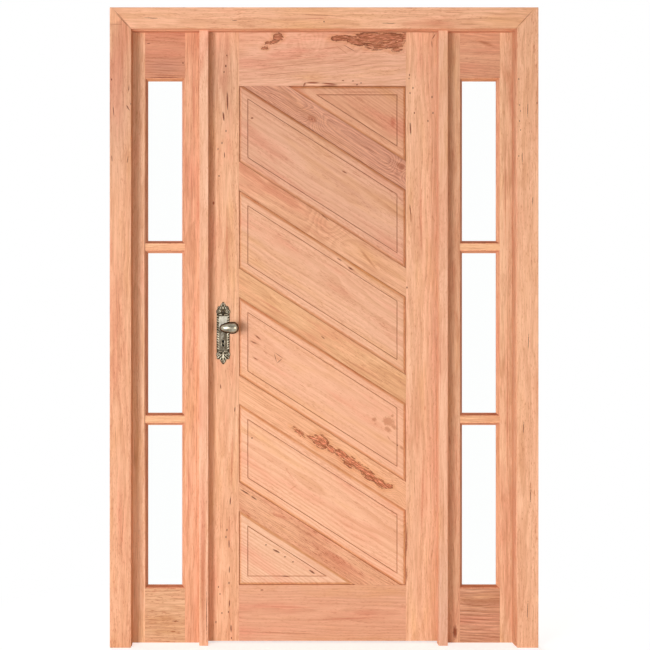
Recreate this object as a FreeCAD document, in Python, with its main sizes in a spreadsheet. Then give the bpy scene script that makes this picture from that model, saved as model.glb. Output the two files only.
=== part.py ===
"""Entrance door set in solid wood: one leaf with slanting raised panels between two glazed
sidelights, in a frame with mitred casing on the front.

Millimetres, +Z up, +Y into the wall. X = 0 is the wall-side face of the left jamb, Y = 0 the front
edge of the frame, which is the face of the wall, and Z = 0 the floor.
"""

import FreeCAD
import Part
import Sketcher
import os
import sys

SIZES = {
    # frame
    "head_height": (2089.0, "floor to the underside of the frame head"),
    "doorway_width": (782.0, "between the lips of the two mullions"),
    "sidelight_width": (228.0, "between a jamb and its mullion"),
    "jamb_thickness": (35.0, "side post of the frame"),
    "head_thickness": (35.0, "top piece of the frame"),
    "mullion_width": (31.0, "post between leaf and sidelight, seen from the front"),
    "lip_depth": (33.0, "front edge of the frame to the shoulder that the leaf closes against"),
    "leaf_rebate": (13.0, "depth of the step that the leaf closes into"),
    "casing_width": (72.0, "board round the frame"),
    "casing_thickness": (22.0, "board round the frame"),
    "casing_reveal": (2.0, "frame edge left showing inside the casing"),
    # leaf
    "leaf_thickness": (35.0, "leaf and sidelight sashes"),
    "edge_gap": (6.2, "leaf to the step, at the sides and the top"),
    "stop_gap": (5.0, "leaf to the shoulder"),
    "floor_gap": (6.0, "leaf to the floor"),
    "stile_width": (112.3, "upright of the leaf"),
    "top_rail_height": (189.6, "leaf"),
    "bottom_rail_height": (191.7, "leaf"),
    "slope": (32.6, "fall of the slanting rails, degrees"),
    "slant_rail_width": (82.4, "across the rail"),
    "upper_overrun": (9.0, "lower edge of the first slanting rail above the field's corner"),
    "lower_overrun": (13.0, "upper edge of the last slanting rail below the field's corner"),
    "tongue_depth": (8.5, "panel edge and rail end held in the groove"),
    "tongue_thickness": (9.0, "panel edge and rail end held in the groove"),
    "groove_slack": (0.3, "groove beyond the tongue, on each side and at its bottom"),
    "panel_gap": (0.8, "open joint round the thick part of a panel"),
    "bevel_width": (10.0, "joint and steep edge of a panel"),
    "bevel_drop": (6.0, "leaf face to the outer edge of the bevel"),
    "band_low_drop": (1.8, "leaf face to the outer edge of the nearly flat band inside the bevel"),
    "band_high_drop": (1.2, "leaf face to the inner edge of that band"),
    "side_border": (29.0, "bevel and band of a panel along stiles and level rails"),
    "slant_border": (27.5, "bevel and band of a panel along slanting rails"),
    "quirk_width": (2.0, "narrow groove between the band and the field"),
    "quirk_drop": (6.0, "leaf face to the bottom of that groove"),
    "field_drop": (1.8, "leaf face to the raised field of a panel"),
    # sidelight sashes
    "sash_outer_stile": (42.6, "upright of a sidelight beside the jamb"),
    "sash_inner_stile": (48.8, "upright of a sidelight beside the mullion"),
    "sash_top_rail": (154.8, "top rail of a sidelight"),
    "sash_bottom_rail": (185.2, "bottom rail of a sidelight"),
    "bar_height": (22.0, "glazing bar"),
    "bead_width": (10.0, "sloping bead round a pane"),
    "bead_edge": (2.0, "flat outer edge of the bead"),
    "bead_drop": (4.0, "sash face to the bead"),
    "glass_thickness": (4.0, "pane"),
    "glass_slack": (1.0, "pane to the sash, all round"),
    # hinges
    "hinge_height": (89.0, "hinge plate"),
    "hinge_plate_width": (30.0, "hinge plate, front to back"),
    "hinge_plate_thickness": (2.5, "hinge plate"),
    "barrel_radius": (6.0, "hinge barrel"),
    "barrel_gap": (0.5, "barrel to the back of the frame"),
    "pin_radius": (3.0, "hinge pin"),
    "pin_slack": (0.05, "pin to the leaf's knuckles"),
    "knuckle_gap": (0.3, "between two knuckles"),
    "hinge_end_distance": (180.0, "end of the leaf to the middle of the nearest hinge"),
    # handle
    "backset": (57.5, "lock edge of the leaf to the handle's axis"),
    "handle_height": (1080.0, "floor to the handle's axis"),
    "plate_middle_drop": (20.0, "handle's axis down to the middle of the long plate"),
    "plate_height": (213.0, "long plate with its pointed ends"),
    "plate_width": (44.0, "straight part of the long plate"),
    "plate_thickness": (2.5, "long plate"),
    "volute_radius": (10.0, "round lobes at the four corners of the plate"),
    "volute_across": (14.0, "plate's middle to the middle of a corner lobe"),
    "volute_drop": (33.0, "end of the plate to the middle of a corner lobe"),
    "shoulder_radius": (8.0, "lobes of the crown"),
    "shoulder_across": (11.5, "plate's middle to the middle of a crown lobe"),
    "shoulder_drop": (21.5, "end of the plate to the middle of a crown lobe"),
    "wing_radius": (5.0, "small lobes at the foot of the plate"),
    "wing_across": (17.0, "plate's middle to the middle of a foot lobe"),
    "wing_drop": (22.0, "end of the plate to the middle of a foot lobe"),
    "pendant_radius": (13.0, "round middle of the foot"),
    "pendant_drop": (22.5, "end of the plate to the middle of the foot"),
    "point_radius": (9.0, "lobe under each tip"),
    "point_drop": (12.5, "end of the plate to the middle of that lobe"),
    "tip_radius": (4.0, "tip at each end of the plate"),
    "keyhole_radius": (4.6, "round part of the keyhole"),
    "keyhole_drop": (48.5, "handle's axis down to the round part of the keyhole"),
    "keyhole_slot": (7.6, "width of the keyhole below its round part"),
    "keyhole_length": (17.0, "middle of the round part to the slot's end"),
    "keyhole_depth": (9.0, "keyhole in each face of the leaf"),
    "neck_radius": (7.0, "stem of the handle"),
    "neck_slack": (0.4, "stem to the plate"),
    "neck_length": (45.0, "plate to the middle of the knob"),
    "neck_insert": (2.0, "stem inside the leaf"),
    "knob_radius": (20.3, "egg-shaped knob at its widest"),
    "knob_reach": (33.0, "handle's axis to the widest part of the knob"),
    "knob_narrow_length": (46.0, "widest part to the narrow end"),
    "knob_broad_length": (19.5, "widest part to the broad end"),
    "spindle_width": (8.0, "square bar between the two handles"),
    "spindle_bore": (11.0, "radius of the hole for the bar"),
    "faceplate_height": (200.0, "lock strip in the leaf's edge"),
    "faceplate_width": (20.0, "lock strip and strike plate"),
    "faceplate_thickness": (2.5, "lock strip and strike plate"),
    "strike_height": (120.0, "strike plate"),
    "latch_hole_height": (26.0, "strike plate's hole for the latch, level with the handle"),
    "bolt_hole_height": (30.0, "strike plate's hole for the bolt, level with the keyhole"),
    "strike_hole_width": (12.0, "both holes, front to back"),
    "strike_hole_depth": (14.0, "both holes, from the face of the strike plate"),
    # workshop
    "cut_past": (1.0, "a cut starts this far outside the wood"),
}
KNUCKLES = 5
PANELS = 6

doc = FreeCAD.newDocument("door_with_sidelights")
sheet = doc.addObject("Spreadsheet::Sheet", "Sizes")
for row, (alias, (value, note)) in enumerate(SIZES.items(), start=1):
    sheet.set(f"A{row}", note)
    sheet.set(f"B{row}", str(value))
    sheet.setAlias(f"B{row}", alias)
doc.recompute()


def size(alias):
    """The sheet's cell, as it is written in an expression."""
    return f"Sizes.{alias}"


def total(*terms):
    return "(" + " + ".join(str(term) for term in terms) + ")"


def less(first, *terms):
    return "(" + " - ".join([str(first)] + [str(term) for term in terms]) + ")"


def value_of(expression):
    return float(sheet.evalExpression(expression))


PAST = size("cut_past")

# Places along X, from the left jamb to the right one
left_light_x = size("jamb_thickness")
left_mullion_x = total(left_light_x, size("sidelight_width"))
doorway_x = total(left_mullion_x, size("mullion_width"))
right_mullion_x = total(doorway_x, size("doorway_width"))
right_light_x = total(right_mullion_x, size("mullion_width"))
right_jamb_x = total(right_light_x, size("sidelight_width"))
frame_right_x = total(right_jamb_x, size("jamb_thickness"))
left_step_x = less(doorway_x, size("leaf_rebate"))
right_step_x = total(right_mullion_x, size("leaf_rebate"))
leaf_left_x = total(left_step_x, size("edge_gap"))
leaf_right_x = less(right_step_x, size("edge_gap"))
field_left_x = total(leaf_left_x, size("stile_width"))
field_right_x = less(leaf_right_x, size("stile_width"))

# Places along Y, from the front edge of the frame
leaf_front_y = total(size("lip_depth"), size("stop_gap"))
frame_back_y = total(leaf_front_y, size("leaf_thickness"))
leaf_middle_y = total(leaf_front_y, size("leaf_thickness") + " / 2")

# Places along Z
head_z = size("head_height")
frame_top_z = total(head_z, size("head_thickness"))
step_top_z = total(head_z, size("leaf_rebate"))
leaf_bottom_z = size("floor_gap")
leaf_top_z = less(step_top_z, size("edge_gap"))
field_bottom_z = total(leaf_bottom_z, size("bottom_rail_height"))
field_top_z = less(leaf_top_z, size("top_rail_height"))


def named(obj, label):
    obj.Label = label
    return obj


def box(label, x, y, z):
    """A block between two expressions along each axis."""
    block = doc.addObject("Part::Box", label)
    for axis, side, (low, high) in (("x", "Length", x), ("y", "Width", y), ("z", "Height", z)):
        block.setExpression(f"Placement.Base.{axis}", low)
        block.setExpression(side, less(high, low))
    return named(block, label)


def cylinder(label, x, y, z, radius, length, along_y=False):
    rod = doc.addObject("Part::Cylinder", label)
    rod.setExpression("Radius", radius)
    rod.setExpression("Height", length)
    if along_y:
        rod.Placement.Rotation = FreeCAD.Rotation(FreeCAD.Vector(1, 0, 0), -90)
    for axis, place in (("x", x), ("y", y), ("z", z)):
        rod.setExpression(f"Placement.Base.{axis}", place)
    return named(rod, label)


def cut(label, base, *tools):
    """The base without each of the tools."""
    for number, tool in enumerate(tools, start=1):
        result = doc.addObject("Part::Cut", f"{label}_cut_{number}")
        result.Base = base
        result.Tool = tool
        base = result
    return named(base, label)


def fuse(label, *pieces):
    result = doc.addObject("Part::MultiFuse", label)
    result.Shapes = list(pieces)
    result.Refine = True
    return named(result, label)


def group(label, *pieces):
    """Like pieces that share a node and don't touch."""
    result = doc.addObject("Part::Compound", label)
    result.Links = list(pieces)
    return named(result, label)


def origin_plane(body, role):
    return next(plane for plane in body.Origin.OriginFeatures if plane.Role == role)


def outline(body, name, plane, points, offset):
    """A closed sketch through points given as expressions, at an offset along the plane's normal."""
    sketch = body.newObject("Sketcher::SketchObject", name)
    sketch.AttachmentSupport = [(origin_plane(body, plane), "")]
    sketch.MapMode = "FlatFace"
    sketch.setExpression("AttachmentOffset.Base.z", offset)
    corners = [FreeCAD.Vector(value_of(across), value_of(up), 0) for across, up in points]
    count = len(corners)
    for i, corner in enumerate(corners):
        sketch.addGeometry(Part.LineSegment(corner, corners[(i + 1) % count]), False)
    for i in range(count):
        sketch.addConstraint(Sketcher.Constraint("Coincident", i, 2, (i + 1) % count, 1))
    for i, (across, up) in enumerate(points):
        for kind, place, current in (("DistanceX", across, corners[i].x), ("DistanceY", up, corners[i].y)):
            index = sketch.addConstraint(Sketcher.Constraint(kind, -1, 1, i, 1, current))
            sketch.setExpression(f"Constraints[{index}]", place)
    return sketch


def new_body(label):
    return named(doc.addObject("PartDesign::Body", label), label)


def pad(body, name, plane, points, start, length):
    """Material from an outline, beginning at start along the plane's normal."""
    sketch = outline(body, f"{name}_outline", plane, points, start)
    feature = body.newObject("PartDesign::Pad", name)
    feature.Profile = sketch
    feature.setExpression("Length", length)
    body.Tip = feature
    return feature


def front_pad(body, name, points, front_y, back_y):
    """Material between two depths, from an outline in X and Z. The plane's normal is -Y."""
    return pad(body, name, "XZ_Plane", points, f"-{back_y}", less(back_y, front_y))


def pocket(body, name, points, front_y, back_y):
    """A cut between two depths, from an outline in X and Z."""
    sketch = outline(body, f"{name}_outline", "XZ_Plane", points, f"-{back_y}")
    feature = body.newObject("PartDesign::Pocket", name)
    feature.Profile = sketch
    feature.Reversed = True
    feature.setExpression("Length", less(back_y, front_y))
    body.Tip = feature
    return feature


# Frame


def build_jambs():
    depth = ("0", frame_back_y)
    height = ("0", frame_top_z)
    left = box("jamb_left", ("0", left_light_x), depth, height)
    right = box("jamb_right", (right_jamb_x, frame_right_x), depth, height)
    return [left, right]


def build_head():
    """Between the jambs, with the leaf's step cut in its lower back edge."""
    blank = box("head_blank", (left_light_x, right_jamb_x), ("0", frame_back_y), (head_z, frame_top_z))
    back = (size("lip_depth"), total(frame_back_y, PAST))
    step = box("head_step", (left_step_x, right_step_x), back, (less(head_z, PAST), step_top_z))
    return cut("frame_head", blank, step)


def build_mullion(label, light_x, door_x, step_x):
    """A post that is full width at the front and narrower behind the lip."""
    body = new_body(label)
    lip = size("lip_depth")
    section = [
        (light_x, "0"),
        (door_x, "0"),
        (door_x, lip),
        (step_x, lip),
        (step_x, frame_back_y),
        (light_x, frame_back_y),
    ]
    pad(body, f"{label}_post", "XY_Plane", section, "0", head_z)
    return body


def build_casings():
    """Mitred boards on the front of the frame."""
    inner_left = less(size("jamb_thickness"), size("casing_reveal"))
    outer_left = less(inner_left, size("casing_width"))
    inner_right = total(right_jamb_x, size("casing_reveal"))
    outer_right = total(inner_right, size("casing_width"))
    inner_z = total(head_z, size("casing_reveal"))
    outer_z = total(inner_z, size("casing_width"))
    boards = {
        "casing_left": [(outer_left, "0"), (inner_left, "0"), (inner_left, inner_z), (outer_left, outer_z)],
        "casing_right": [(inner_right, "0"), (outer_right, "0"), (outer_right, outer_z), (inner_right, inner_z)],
        "casing_head": [(inner_left, inner_z), (inner_right, inner_z), (outer_right, outer_z), (outer_left, outer_z)],
    }
    bodies = []
    for label, points in boards.items():
        body = new_body(label)
        front_pad(body, f"{label}_board", points, f"-{size('casing_thickness')}", "0")
        bodies.append(body)
    return bodies


# Sidelights


def light_levels():
    """Bottom and top of the three openings of a sidelight, from the floor up."""
    low = size("sash_bottom_rail")
    high = less(head_z, size("sash_top_rail"))
    light = f"(({high} - {low} - 2 * {size('bar_height')}) / 3)"
    step = total(light, size("bar_height"))
    return [(total(low, f"{n} * {step}"), total(low, f"{n} * {step}", light)) for n in range(3)]


def bead_ring(label, x, z, y_outer, y_glass):
    """A frame of sloping bead that runs down from y_outer, near the sash's face, to the glass."""
    width = size("bead_width")
    edge = size("bead_edge")
    reverse = value_of(y_outer) > value_of(y_glass)
    y = (y_glass, y_outer) if reverse else (y_outer, y_glass)
    block = box(f"{label}_block", x, y, z)
    opening = doc.addObject("Part::Wedge", f"{label}_opening")
    near, far = (width, edge) if reverse else (edge, width)
    limits = {
        "Xmin": total(x[0], near),
        "Xmax": less(x[1], near),
        "Zmin": total(z[0], near),
        "Zmax": less(z[1], near),
        "X2min": total(x[0], far),
        "X2max": less(x[1], far),
        "Z2min": total(z[0], far),
        "Z2max": less(z[1], far),
        "Ymin": y[0],
        "Ymax": y[1],
    }
    for prop, place in limits.items():
        opening.setExpression(prop, place)
    return cut(label, block, opening)


def build_sidelight(side, x_left, x_right):
    """A sash with two glazing bars: rails between stiles, and glass held between two sets of bead."""
    depth = (leaf_front_y, frame_back_y)
    name = f"sidelight_{side}"
    stile_names = ("outer", "inner") if side == "left" else ("inner", "outer")
    left_stile, right_stile = (size(f"sash_{stile}_stile") for stile in stile_names)
    inner = (total(x_left, left_stile), less(x_right, right_stile))
    top_rail_z = less(head_z, size("sash_top_rail"))
    pieces = [
        box(f"{name}_{stile_names[0]}_stile", (x_left, inner[0]), depth, ("0", head_z)),
        box(f"{name}_{stile_names[1]}_stile", (inner[1], x_right), depth, ("0", head_z)),
        box(f"{name}_top_rail", inner, depth, (top_rail_z, head_z)),
        box(f"{name}_bottom_rail", inner, depth, ("0", size("sash_bottom_rail"))),
    ]
    levels = light_levels()
    bars = [
        box(f"{name}_bar_{n + 1}", inner, depth, (levels[n][1], levels[n + 1][0])) for n in range(2)
    ]
    pieces.append(group(f"{name}_bars", *bars))
    glass_front = less(leaf_middle_y, size("glass_thickness") + " / 2")
    glass_back = total(leaf_middle_y, size("glass_thickness") + " / 2")
    bead_front = total(leaf_front_y, size("bead_drop"))
    bead_back = less(frame_back_y, size("bead_drop"))
    slack = size("glass_slack")
    panes = []
    front_beads = []
    back_beads = []
    for n, (low, high) in enumerate(levels, start=1):
        front_beads.append(bead_ring(f"{name}_front_bead_{n}", inner, (low, high), bead_front, glass_front))
        back_beads.append(bead_ring(f"{name}_back_bead_{n}", inner, (low, high), bead_back, glass_back))
        pane_x = (total(inner[0], slack), less(inner[1], slack))
        pane_z = (total(low, slack), less(high, slack))
        panes.append(box(f"{name}_pane_{n}", pane_x, (glass_front, glass_back), pane_z))
    pieces.append(group(f"{name}_front_beads", *front_beads))
    pieces.append(group(f"{name}_back_beads", *back_beads))
    pieces.append(group(f"{name}_glass", *panes))
    return pieces


# Leaf

groove_depth = total(size("tongue_depth"), size("groove_slack"))
half_groove = total(size("tongue_thickness") + " / 2", size("groove_slack"))
groove_y = (less(leaf_middle_y, half_groove), total(leaf_middle_y, half_groove))
half_tongue = size("tongue_thickness") + " / 2"
tongue_y = (less(leaf_middle_y, half_tongue), total(leaf_middle_y, half_tongue))
leaf_y = (leaf_front_y, frame_back_y)


def grooved_section(plain_edge, grooved_edge, groove_bottom):
    """Outline across a stile or rail with the panel groove in one edge: position first, then depth."""
    return [
        (plain_edge, leaf_y[0]),
        (grooved_edge, leaf_y[0]),
        (grooved_edge, groove_y[0]),
        (groove_bottom, groove_y[0]),
        (groove_bottom, groove_y[1]),
        (grooved_edge, groove_y[1]),
        (grooved_edge, leaf_y[1]),
        (plain_edge, leaf_y[1]),
    ]


handle_x = total(leaf_left_x, size("backset"))
handle_z = size("handle_height")
keyhole_z = less(handle_z, size("keyhole_drop"))
plate_middle_z = less(handle_z, size("plate_middle_drop"))


def build_lock_stile():
    body = new_body("leaf_lock_stile_post")
    section = grooved_section(leaf_left_x, field_left_x, less(field_left_x, groove_depth))
    pad(body, "lock_stile_blank", "XY_Plane", section, leaf_bottom_z, less(leaf_top_z, leaf_bottom_z))
    through = less(leaf_front_y, PAST)
    bore_length = total(size("leaf_thickness"), PAST, PAST)
    bore = cylinder("spindle_bore", handle_x, through, handle_z, size("spindle_bore"), bore_length, True)
    recess_x = (less(leaf_left_x, PAST), total(leaf_left_x, size("faceplate_thickness")))
    recess = box("faceplate_recess", recess_x, faceplate_y(), faceplate_z(size("faceplate_height")))
    depth = size("keyhole_depth")
    front_keyhole = keyhole("front_keyhole", through, total(leaf_front_y, depth))
    back_keyhole = keyhole("back_keyhole", less(frame_back_y, depth), total(frame_back_y, PAST))
    return cut("leaf_lock_stile", body, bore, recess, front_keyhole, back_keyhole)


def build_hinge_stile():
    body = new_body("leaf_hinge_stile")
    section = grooved_section(leaf_right_x, field_right_x, total(field_right_x, groove_depth))
    pad(body, "hinge_stile_blank", "XY_Plane", section, leaf_bottom_z, less(leaf_top_z, leaf_bottom_z))
    return body


def build_leaf_rail(label, plain_z, grooved_z, groove_bottom_z):
    """A level rail between the stiles, with a stub at each end in their grooves."""
    body = new_body(f"{label}_rail")
    section = [
        (depth, height) for height, depth in grooved_section(plain_z, grooved_z, groove_bottom_z)
    ]
    pad(body, f"{label}_blank", "YZ_Plane", section, field_left_x, less(field_right_x, field_left_x))
    low, high = sorted((plain_z, groove_bottom_z), key=value_of)
    tongue = size("tongue_depth")
    stub_left = box(f"{label}_left_stub", (less(field_left_x, tongue), field_left_x), tongue_y, (low, high))
    stub_right = box(f"{label}_right_stub", (field_right_x, total(field_right_x, tongue)), tongue_y, (low, high))
    return fuse(label, body, stub_left, stub_right)


field_width = less(field_right_x, field_left_x)
field_height = less(field_top_z, field_bottom_z)
slant_tan = f"tan({size('slope')})"
slant_cos = f"cos({size('slope')})"
rail_rise = f"({size('slant_rail_width')} / {slant_cos})"
# Panel 2 starts beside the upper left corner of the field and panel 5 ends beside the lower right one
panels_fall = total(field_height, size("upper_overrun"), size("lower_overrun"))
panel_rise = f"(({panels_fall} - {field_width} * {slant_tan} - 3 * {rail_rise}) / 4)"
pitch = total(panel_rise, rail_rise)


def slant(start_z, x):
    """Height at x of a line that falls to the right from start_z at the left of the field."""
    return f"({start_z} - ({x} - {field_left_x}) * {slant_tan})"


def slant_x(start_z, z):
    """Where that line reaches the height z."""
    return f"({field_left_x} + ({start_z} - {z}) / {slant_tan})"


def panel_top(number):
    """Height of a panel's upper line at the left of the field; panel 1 is the topmost."""
    return f"({field_top_z} + {size('upper_overrun')} - {number - 2} * {pitch})"


def panel_points(number, inset, slant_inset):
    """Corners of a panel, moved in from the sight size; a minus sign makes it larger."""
    left = total(field_left_x, inset)
    right = less(field_right_x, inset)
    along = f"{slant_inset} / {slant_cos}"
    upper = less(panel_top(number), along)
    lower = total(less(panel_top(number), panel_rise), along)
    if number == 1:
        top = less(field_top_z, inset)
        return [(slant_x(lower, top), top), (right, top), (right, slant(lower, right))]
    if number == PANELS:
        bottom = total(field_bottom_z, inset)
        return [(left, slant(upper, left)), (slant_x(upper, bottom), bottom), (left, bottom)]
    return [
        (left, slant(upper, left)),
        (right, slant(upper, right)),
        (right, slant(lower, right)),
        (left, slant(lower, left)),
    ]


def tongue_points(number):
    """The panel with its tongue; beside a corner of the field the tongue stops with the groove."""
    tongue = size("tongue_depth")
    along = f"{tongue} / {slant_cos}"
    points = panel_points(number, f"(-{tongue})", f"(-{tongue})")
    if number == 2:
        level = total(field_top_z, tongue)
        upper = total(panel_top(number), along)
        points[0:1] = [(points[0][0], level), (slant_x(upper, level), level)]
    if number == PANELS - 1:
        level = less(field_bottom_z, tongue)
        lower = less(panel_top(number), panel_rise, along)
        points[2:3] = [(points[2][0], level), (slant_x(lower, level), level)]
    return points


def panel_loft(body, name, sketches):
    loft = body.newObject("PartDesign::AdditiveLoft", name)
    loft.Profile = sketches[0]
    loft.Sections = sketches[1:]
    loft.Ruled = True
    body.Tip = loft
    return loft


def trim_corner(body, number):
    """Where a level rail crosses a panel's acute corner, the panel stops at that rail and in its groove."""
    past = f"2 * {size('tongue_depth')}"
    x = (less(field_left_x, past), total(field_right_x, past))
    gap = size("panel_gap")
    tongue = f"(-{size('tongue_depth')})"
    layers = (
        ("front", gap, less(leaf_y[0], PAST), tongue_y[0]),
        ("tongue", tongue, *tongue_y),
        ("back", gap, tongue_y[1], total(leaf_y[1], PAST)),
    )
    for layer, inset, front_y, back_y in layers:
        if number == 2:
            z = (less(field_top_z, inset), total(field_top_z, size("upper_overrun"), past))
        else:
            z = (less(field_bottom_z, size("lower_overrun"), past), total(field_bottom_z, inset))
        points = [(x[0], z[0]), (x[1], z[0]), (x[1], z[1]), (x[0], z[1])]
        pocket(body, f"raised_panel_{number}_{layer}_trim", points, front_y, back_y)


def build_panel(number):
    """A panel with a tongue in the grooves; both faces have a bevel, a band, a quirk and a raised field."""
    label = f"raised_panel_{number}"
    body = new_body(label)
    front_pad(body, f"{label}_tongue", tongue_points(number), *tongue_y)
    low = size("bevel_drop")
    deep = size("quirk_drop")
    gap = size("panel_gap")
    core = panel_points(number, gap, gap)
    front_pad(body, f"{label}_core", core, total(leaf_y[0], low), less(leaf_y[1], low))
    border = panel_points(number, size("side_border"), size("slant_border"))
    steps = (
        ("edge", core, low),
        ("bevel", panel_points(number, size("bevel_width"), size("bevel_width")), size("band_low_drop")),
        ("band", border, size("band_high_drop")),
    )
    for side, face, sign in (("front", leaf_y[0], "+"), ("back", leaf_y[1], "-")):
        sketches = [
            outline(body, f"{label}_{side}_{step}", "XZ_Plane", points, f"-({face} {sign} {drop})")
            for step, points, drop in steps
        ]
        panel_loft(body, f"{label}_{side}_border", sketches)
    pocket(body, f"{label}_front_quirk", border, less(leaf_y[0], PAST), total(leaf_y[0], deep))
    pocket(body, f"{label}_back_quirk", border, less(leaf_y[1], deep), total(leaf_y[1], PAST))
    quirk = size("quirk_width")
    field = panel_points(number, total(size("side_border"), quirk), total(size("slant_border"), quirk))
    drop = size("field_drop")
    front_pad(body, f"{label}_field", field, total(leaf_y[0], drop), less(leaf_y[1], drop))
    if number in (2, PANELS - 1):
        trim_corner(body, number)
    return body


def build_slant_rail(number):
    """A slanting rail with the panel groove along both edges and a stub at each end."""
    label = f"slant_rail_{number}"
    body = new_body(label)
    upper = less(panel_top(number), panel_rise)
    lower = panel_top(number + 1)
    tongue = size("tongue_depth")
    left, right = field_left_x, field_right_x
    stub_left, stub_right = less(left, tongue), total(right, tongue)
    if number == 1:
        stub_top = total(field_top_z, tongue)
        face = [(slant_x(lower, field_top_z), field_top_z), (slant_x(upper, field_top_z), field_top_z)]
        face += [(right, slant(upper, right)), (right, slant(lower, right))]
        stub = [(slant_x(lower, stub_top), stub_top), (slant_x(upper, stub_top), stub_top)]
        stub += [(stub_right, slant(upper, stub_right)), (stub_right, slant(lower, stub_right))]
    elif number == PANELS - 1:
        stub_bottom = less(field_bottom_z, tongue)
        face = [(left, lower), (left, upper), (slant_x(upper, field_bottom_z), field_bottom_z)]
        face.append((slant_x(lower, field_bottom_z), field_bottom_z))
        stub = [(stub_left, slant(lower, stub_left)), (stub_left, slant(upper, stub_left))]
        stub += [(slant_x(upper, stub_bottom), stub_bottom), (slant_x(lower, stub_bottom), stub_bottom)]
    else:
        face = [(left, lower), (left, upper), (right, slant(upper, right)), (right, slant(lower, right))]
        stub = [(stub_left, slant(lower, stub_left)), (stub_left, slant(upper, stub_left))]
        stub += [(stub_right, slant(upper, stub_right)), (stub_right, slant(lower, stub_right))]
    front_pad(body, f"{label}_stub", stub, *tongue_y)
    front_pad(body, f"{label}_face", face, *leaf_y)
    depth = f"{groove_depth} / {slant_cos}"
    past = f"2 * {tongue}"
    ends = (less(left, past), total(right, past))
    for edge, line, bottom in (("upper", upper, less(upper, depth)), ("lower", lower, total(lower, depth))):
        points = [(x, slant(line, x)) for x in ends] + [(x, slant(bottom, x)) for x in reversed(ends)]
        pocket(body, f"{label}_{edge}_groove", points, *groove_y)
    return body


def build_leaf():
    pieces = [build_lock_stile(), build_hinge_stile()]
    top_groove = total(field_top_z, groove_depth)
    bottom_groove = less(field_bottom_z, groove_depth)
    pieces.append(build_leaf_rail("leaf_top_rail", leaf_top_z, field_top_z, top_groove))
    pieces.append(build_leaf_rail("leaf_bottom_rail", leaf_bottom_z, field_bottom_z, bottom_groove))
    pieces += [build_slant_rail(number) for number in range(1, PANELS)]
    pieces += [build_panel(number) for number in range(1, PANELS + 1)]
    return pieces


# Lock and handle


def faceplate_y():
    half = size("faceplate_width") + " / 2"
    return (less(leaf_middle_y, half), total(leaf_middle_y, half))


def faceplate_z(height):
    return (less(plate_middle_z, height + " / 2"), total(plate_middle_z, height + " / 2"))


def keyhole(label, front_y, back_y):
    """A round hole with a slot below it, as a solid to cut away."""
    length = less(back_y, front_y)
    eye = cylinder(f"{label}_eye", handle_x, front_y, keyhole_z, size("keyhole_radius"), length, True)
    half = size("keyhole_slot") + " / 2"
    x = (less(handle_x, half), total(handle_x, half))
    slot = box(f"{label}_slot", x, (front_y, back_y), (less(keyhole_z, size("keyhole_length")), keyhole_z))
    return fuse(label, eye, slot)


def build_faceplate():
    x = (leaf_left_x, total(leaf_left_x, size("faceplate_thickness")))
    return box("lock_faceplate", x, faceplate_y(), faceplate_z(size("faceplate_height")))


def strike_x():
    return (less(left_step_x, size("faceplate_thickness")), left_step_x)


def strike_holes(label):
    """The holes that the latch and the bolt enter, as solids to cut away."""
    half = size("strike_hole_width") + " / 2"
    y = (less(leaf_middle_y, half), total(leaf_middle_y, half))
    x = (less(left_step_x, size("strike_hole_depth")), total(left_step_x, PAST))
    holes = []
    for name, middle, height in (
        ("latch", handle_z, size("latch_hole_height")),
        ("bolt", keyhole_z, size("bolt_hole_height")),
    ):
        z = (less(middle, height + " / 2"), total(middle, height + " / 2"))
        holes.append(box(f"{label}_{name}_hole", x, y, z))
    return holes


def build_long_plate(label, front_y, back_y):
    """A long plate that ends in a crown above and a pendant below, each made of round lobes."""
    thickness = less(back_y, front_y)
    middle = plate_middle_z
    top = total(middle, size("plate_height") + " / 2")
    bottom = less(middle, size("plate_height") + " / 2")

    def disc(name, across, z, radius):
        return cylinder(f"{label}_{name}", total(handle_x, across), front_y, z, radius, thickness, True)

    def pair(name, lobe, z):
        across = size(f"{lobe}_across")
        radius = size(f"{lobe}_radius")
        return [disc(f"{name}_left", f"0 - {across}", z, radius), disc(f"{name}_right", across, z, radius)]

    half = size("plate_width") + " / 2"
    x = (less(handle_x, half), total(handle_x, half))
    z = (total(bottom, size("volute_drop")), less(top, size("volute_drop")))
    lobes = [
        disc("crown_tip", 0, less(top, size("tip_radius")), size("tip_radius")),
        disc("crown_point", 0, less(top, size("point_drop")), size("point_radius")),
        disc("pendant", 0, total(bottom, size("pendant_drop")), size("pendant_radius")),
        disc("pendant_point", 0, total(bottom, size("point_drop")), size("point_radius")),
        disc("pendant_tip", 0, total(bottom, size("tip_radius")), size("tip_radius")),
    ]
    lobes += pair("crown_volute", "volute", z[1])
    lobes += pair("foot_volute", "volute", z[0])
    lobes += pair("crown_shoulder", "shoulder", less(top, size("shoulder_drop")))
    lobes += pair("foot_wing", "wing", total(bottom, size("wing_drop")))
    blank = fuse(f"{label}_blank", box(f"{label}_straight", x, (front_y, back_y), z), *lobes)
    radius = total(size("neck_radius"), size("neck_slack"))
    start = less(front_y, PAST)
    hole = cylinder(f"{label}_hole", handle_x, start, handle_z, radius, total(thickness, PAST, PAST), True)
    return cut(label, blank, hole, keyhole(f"{label}_keyhole", start, total(back_y, PAST)))


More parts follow.
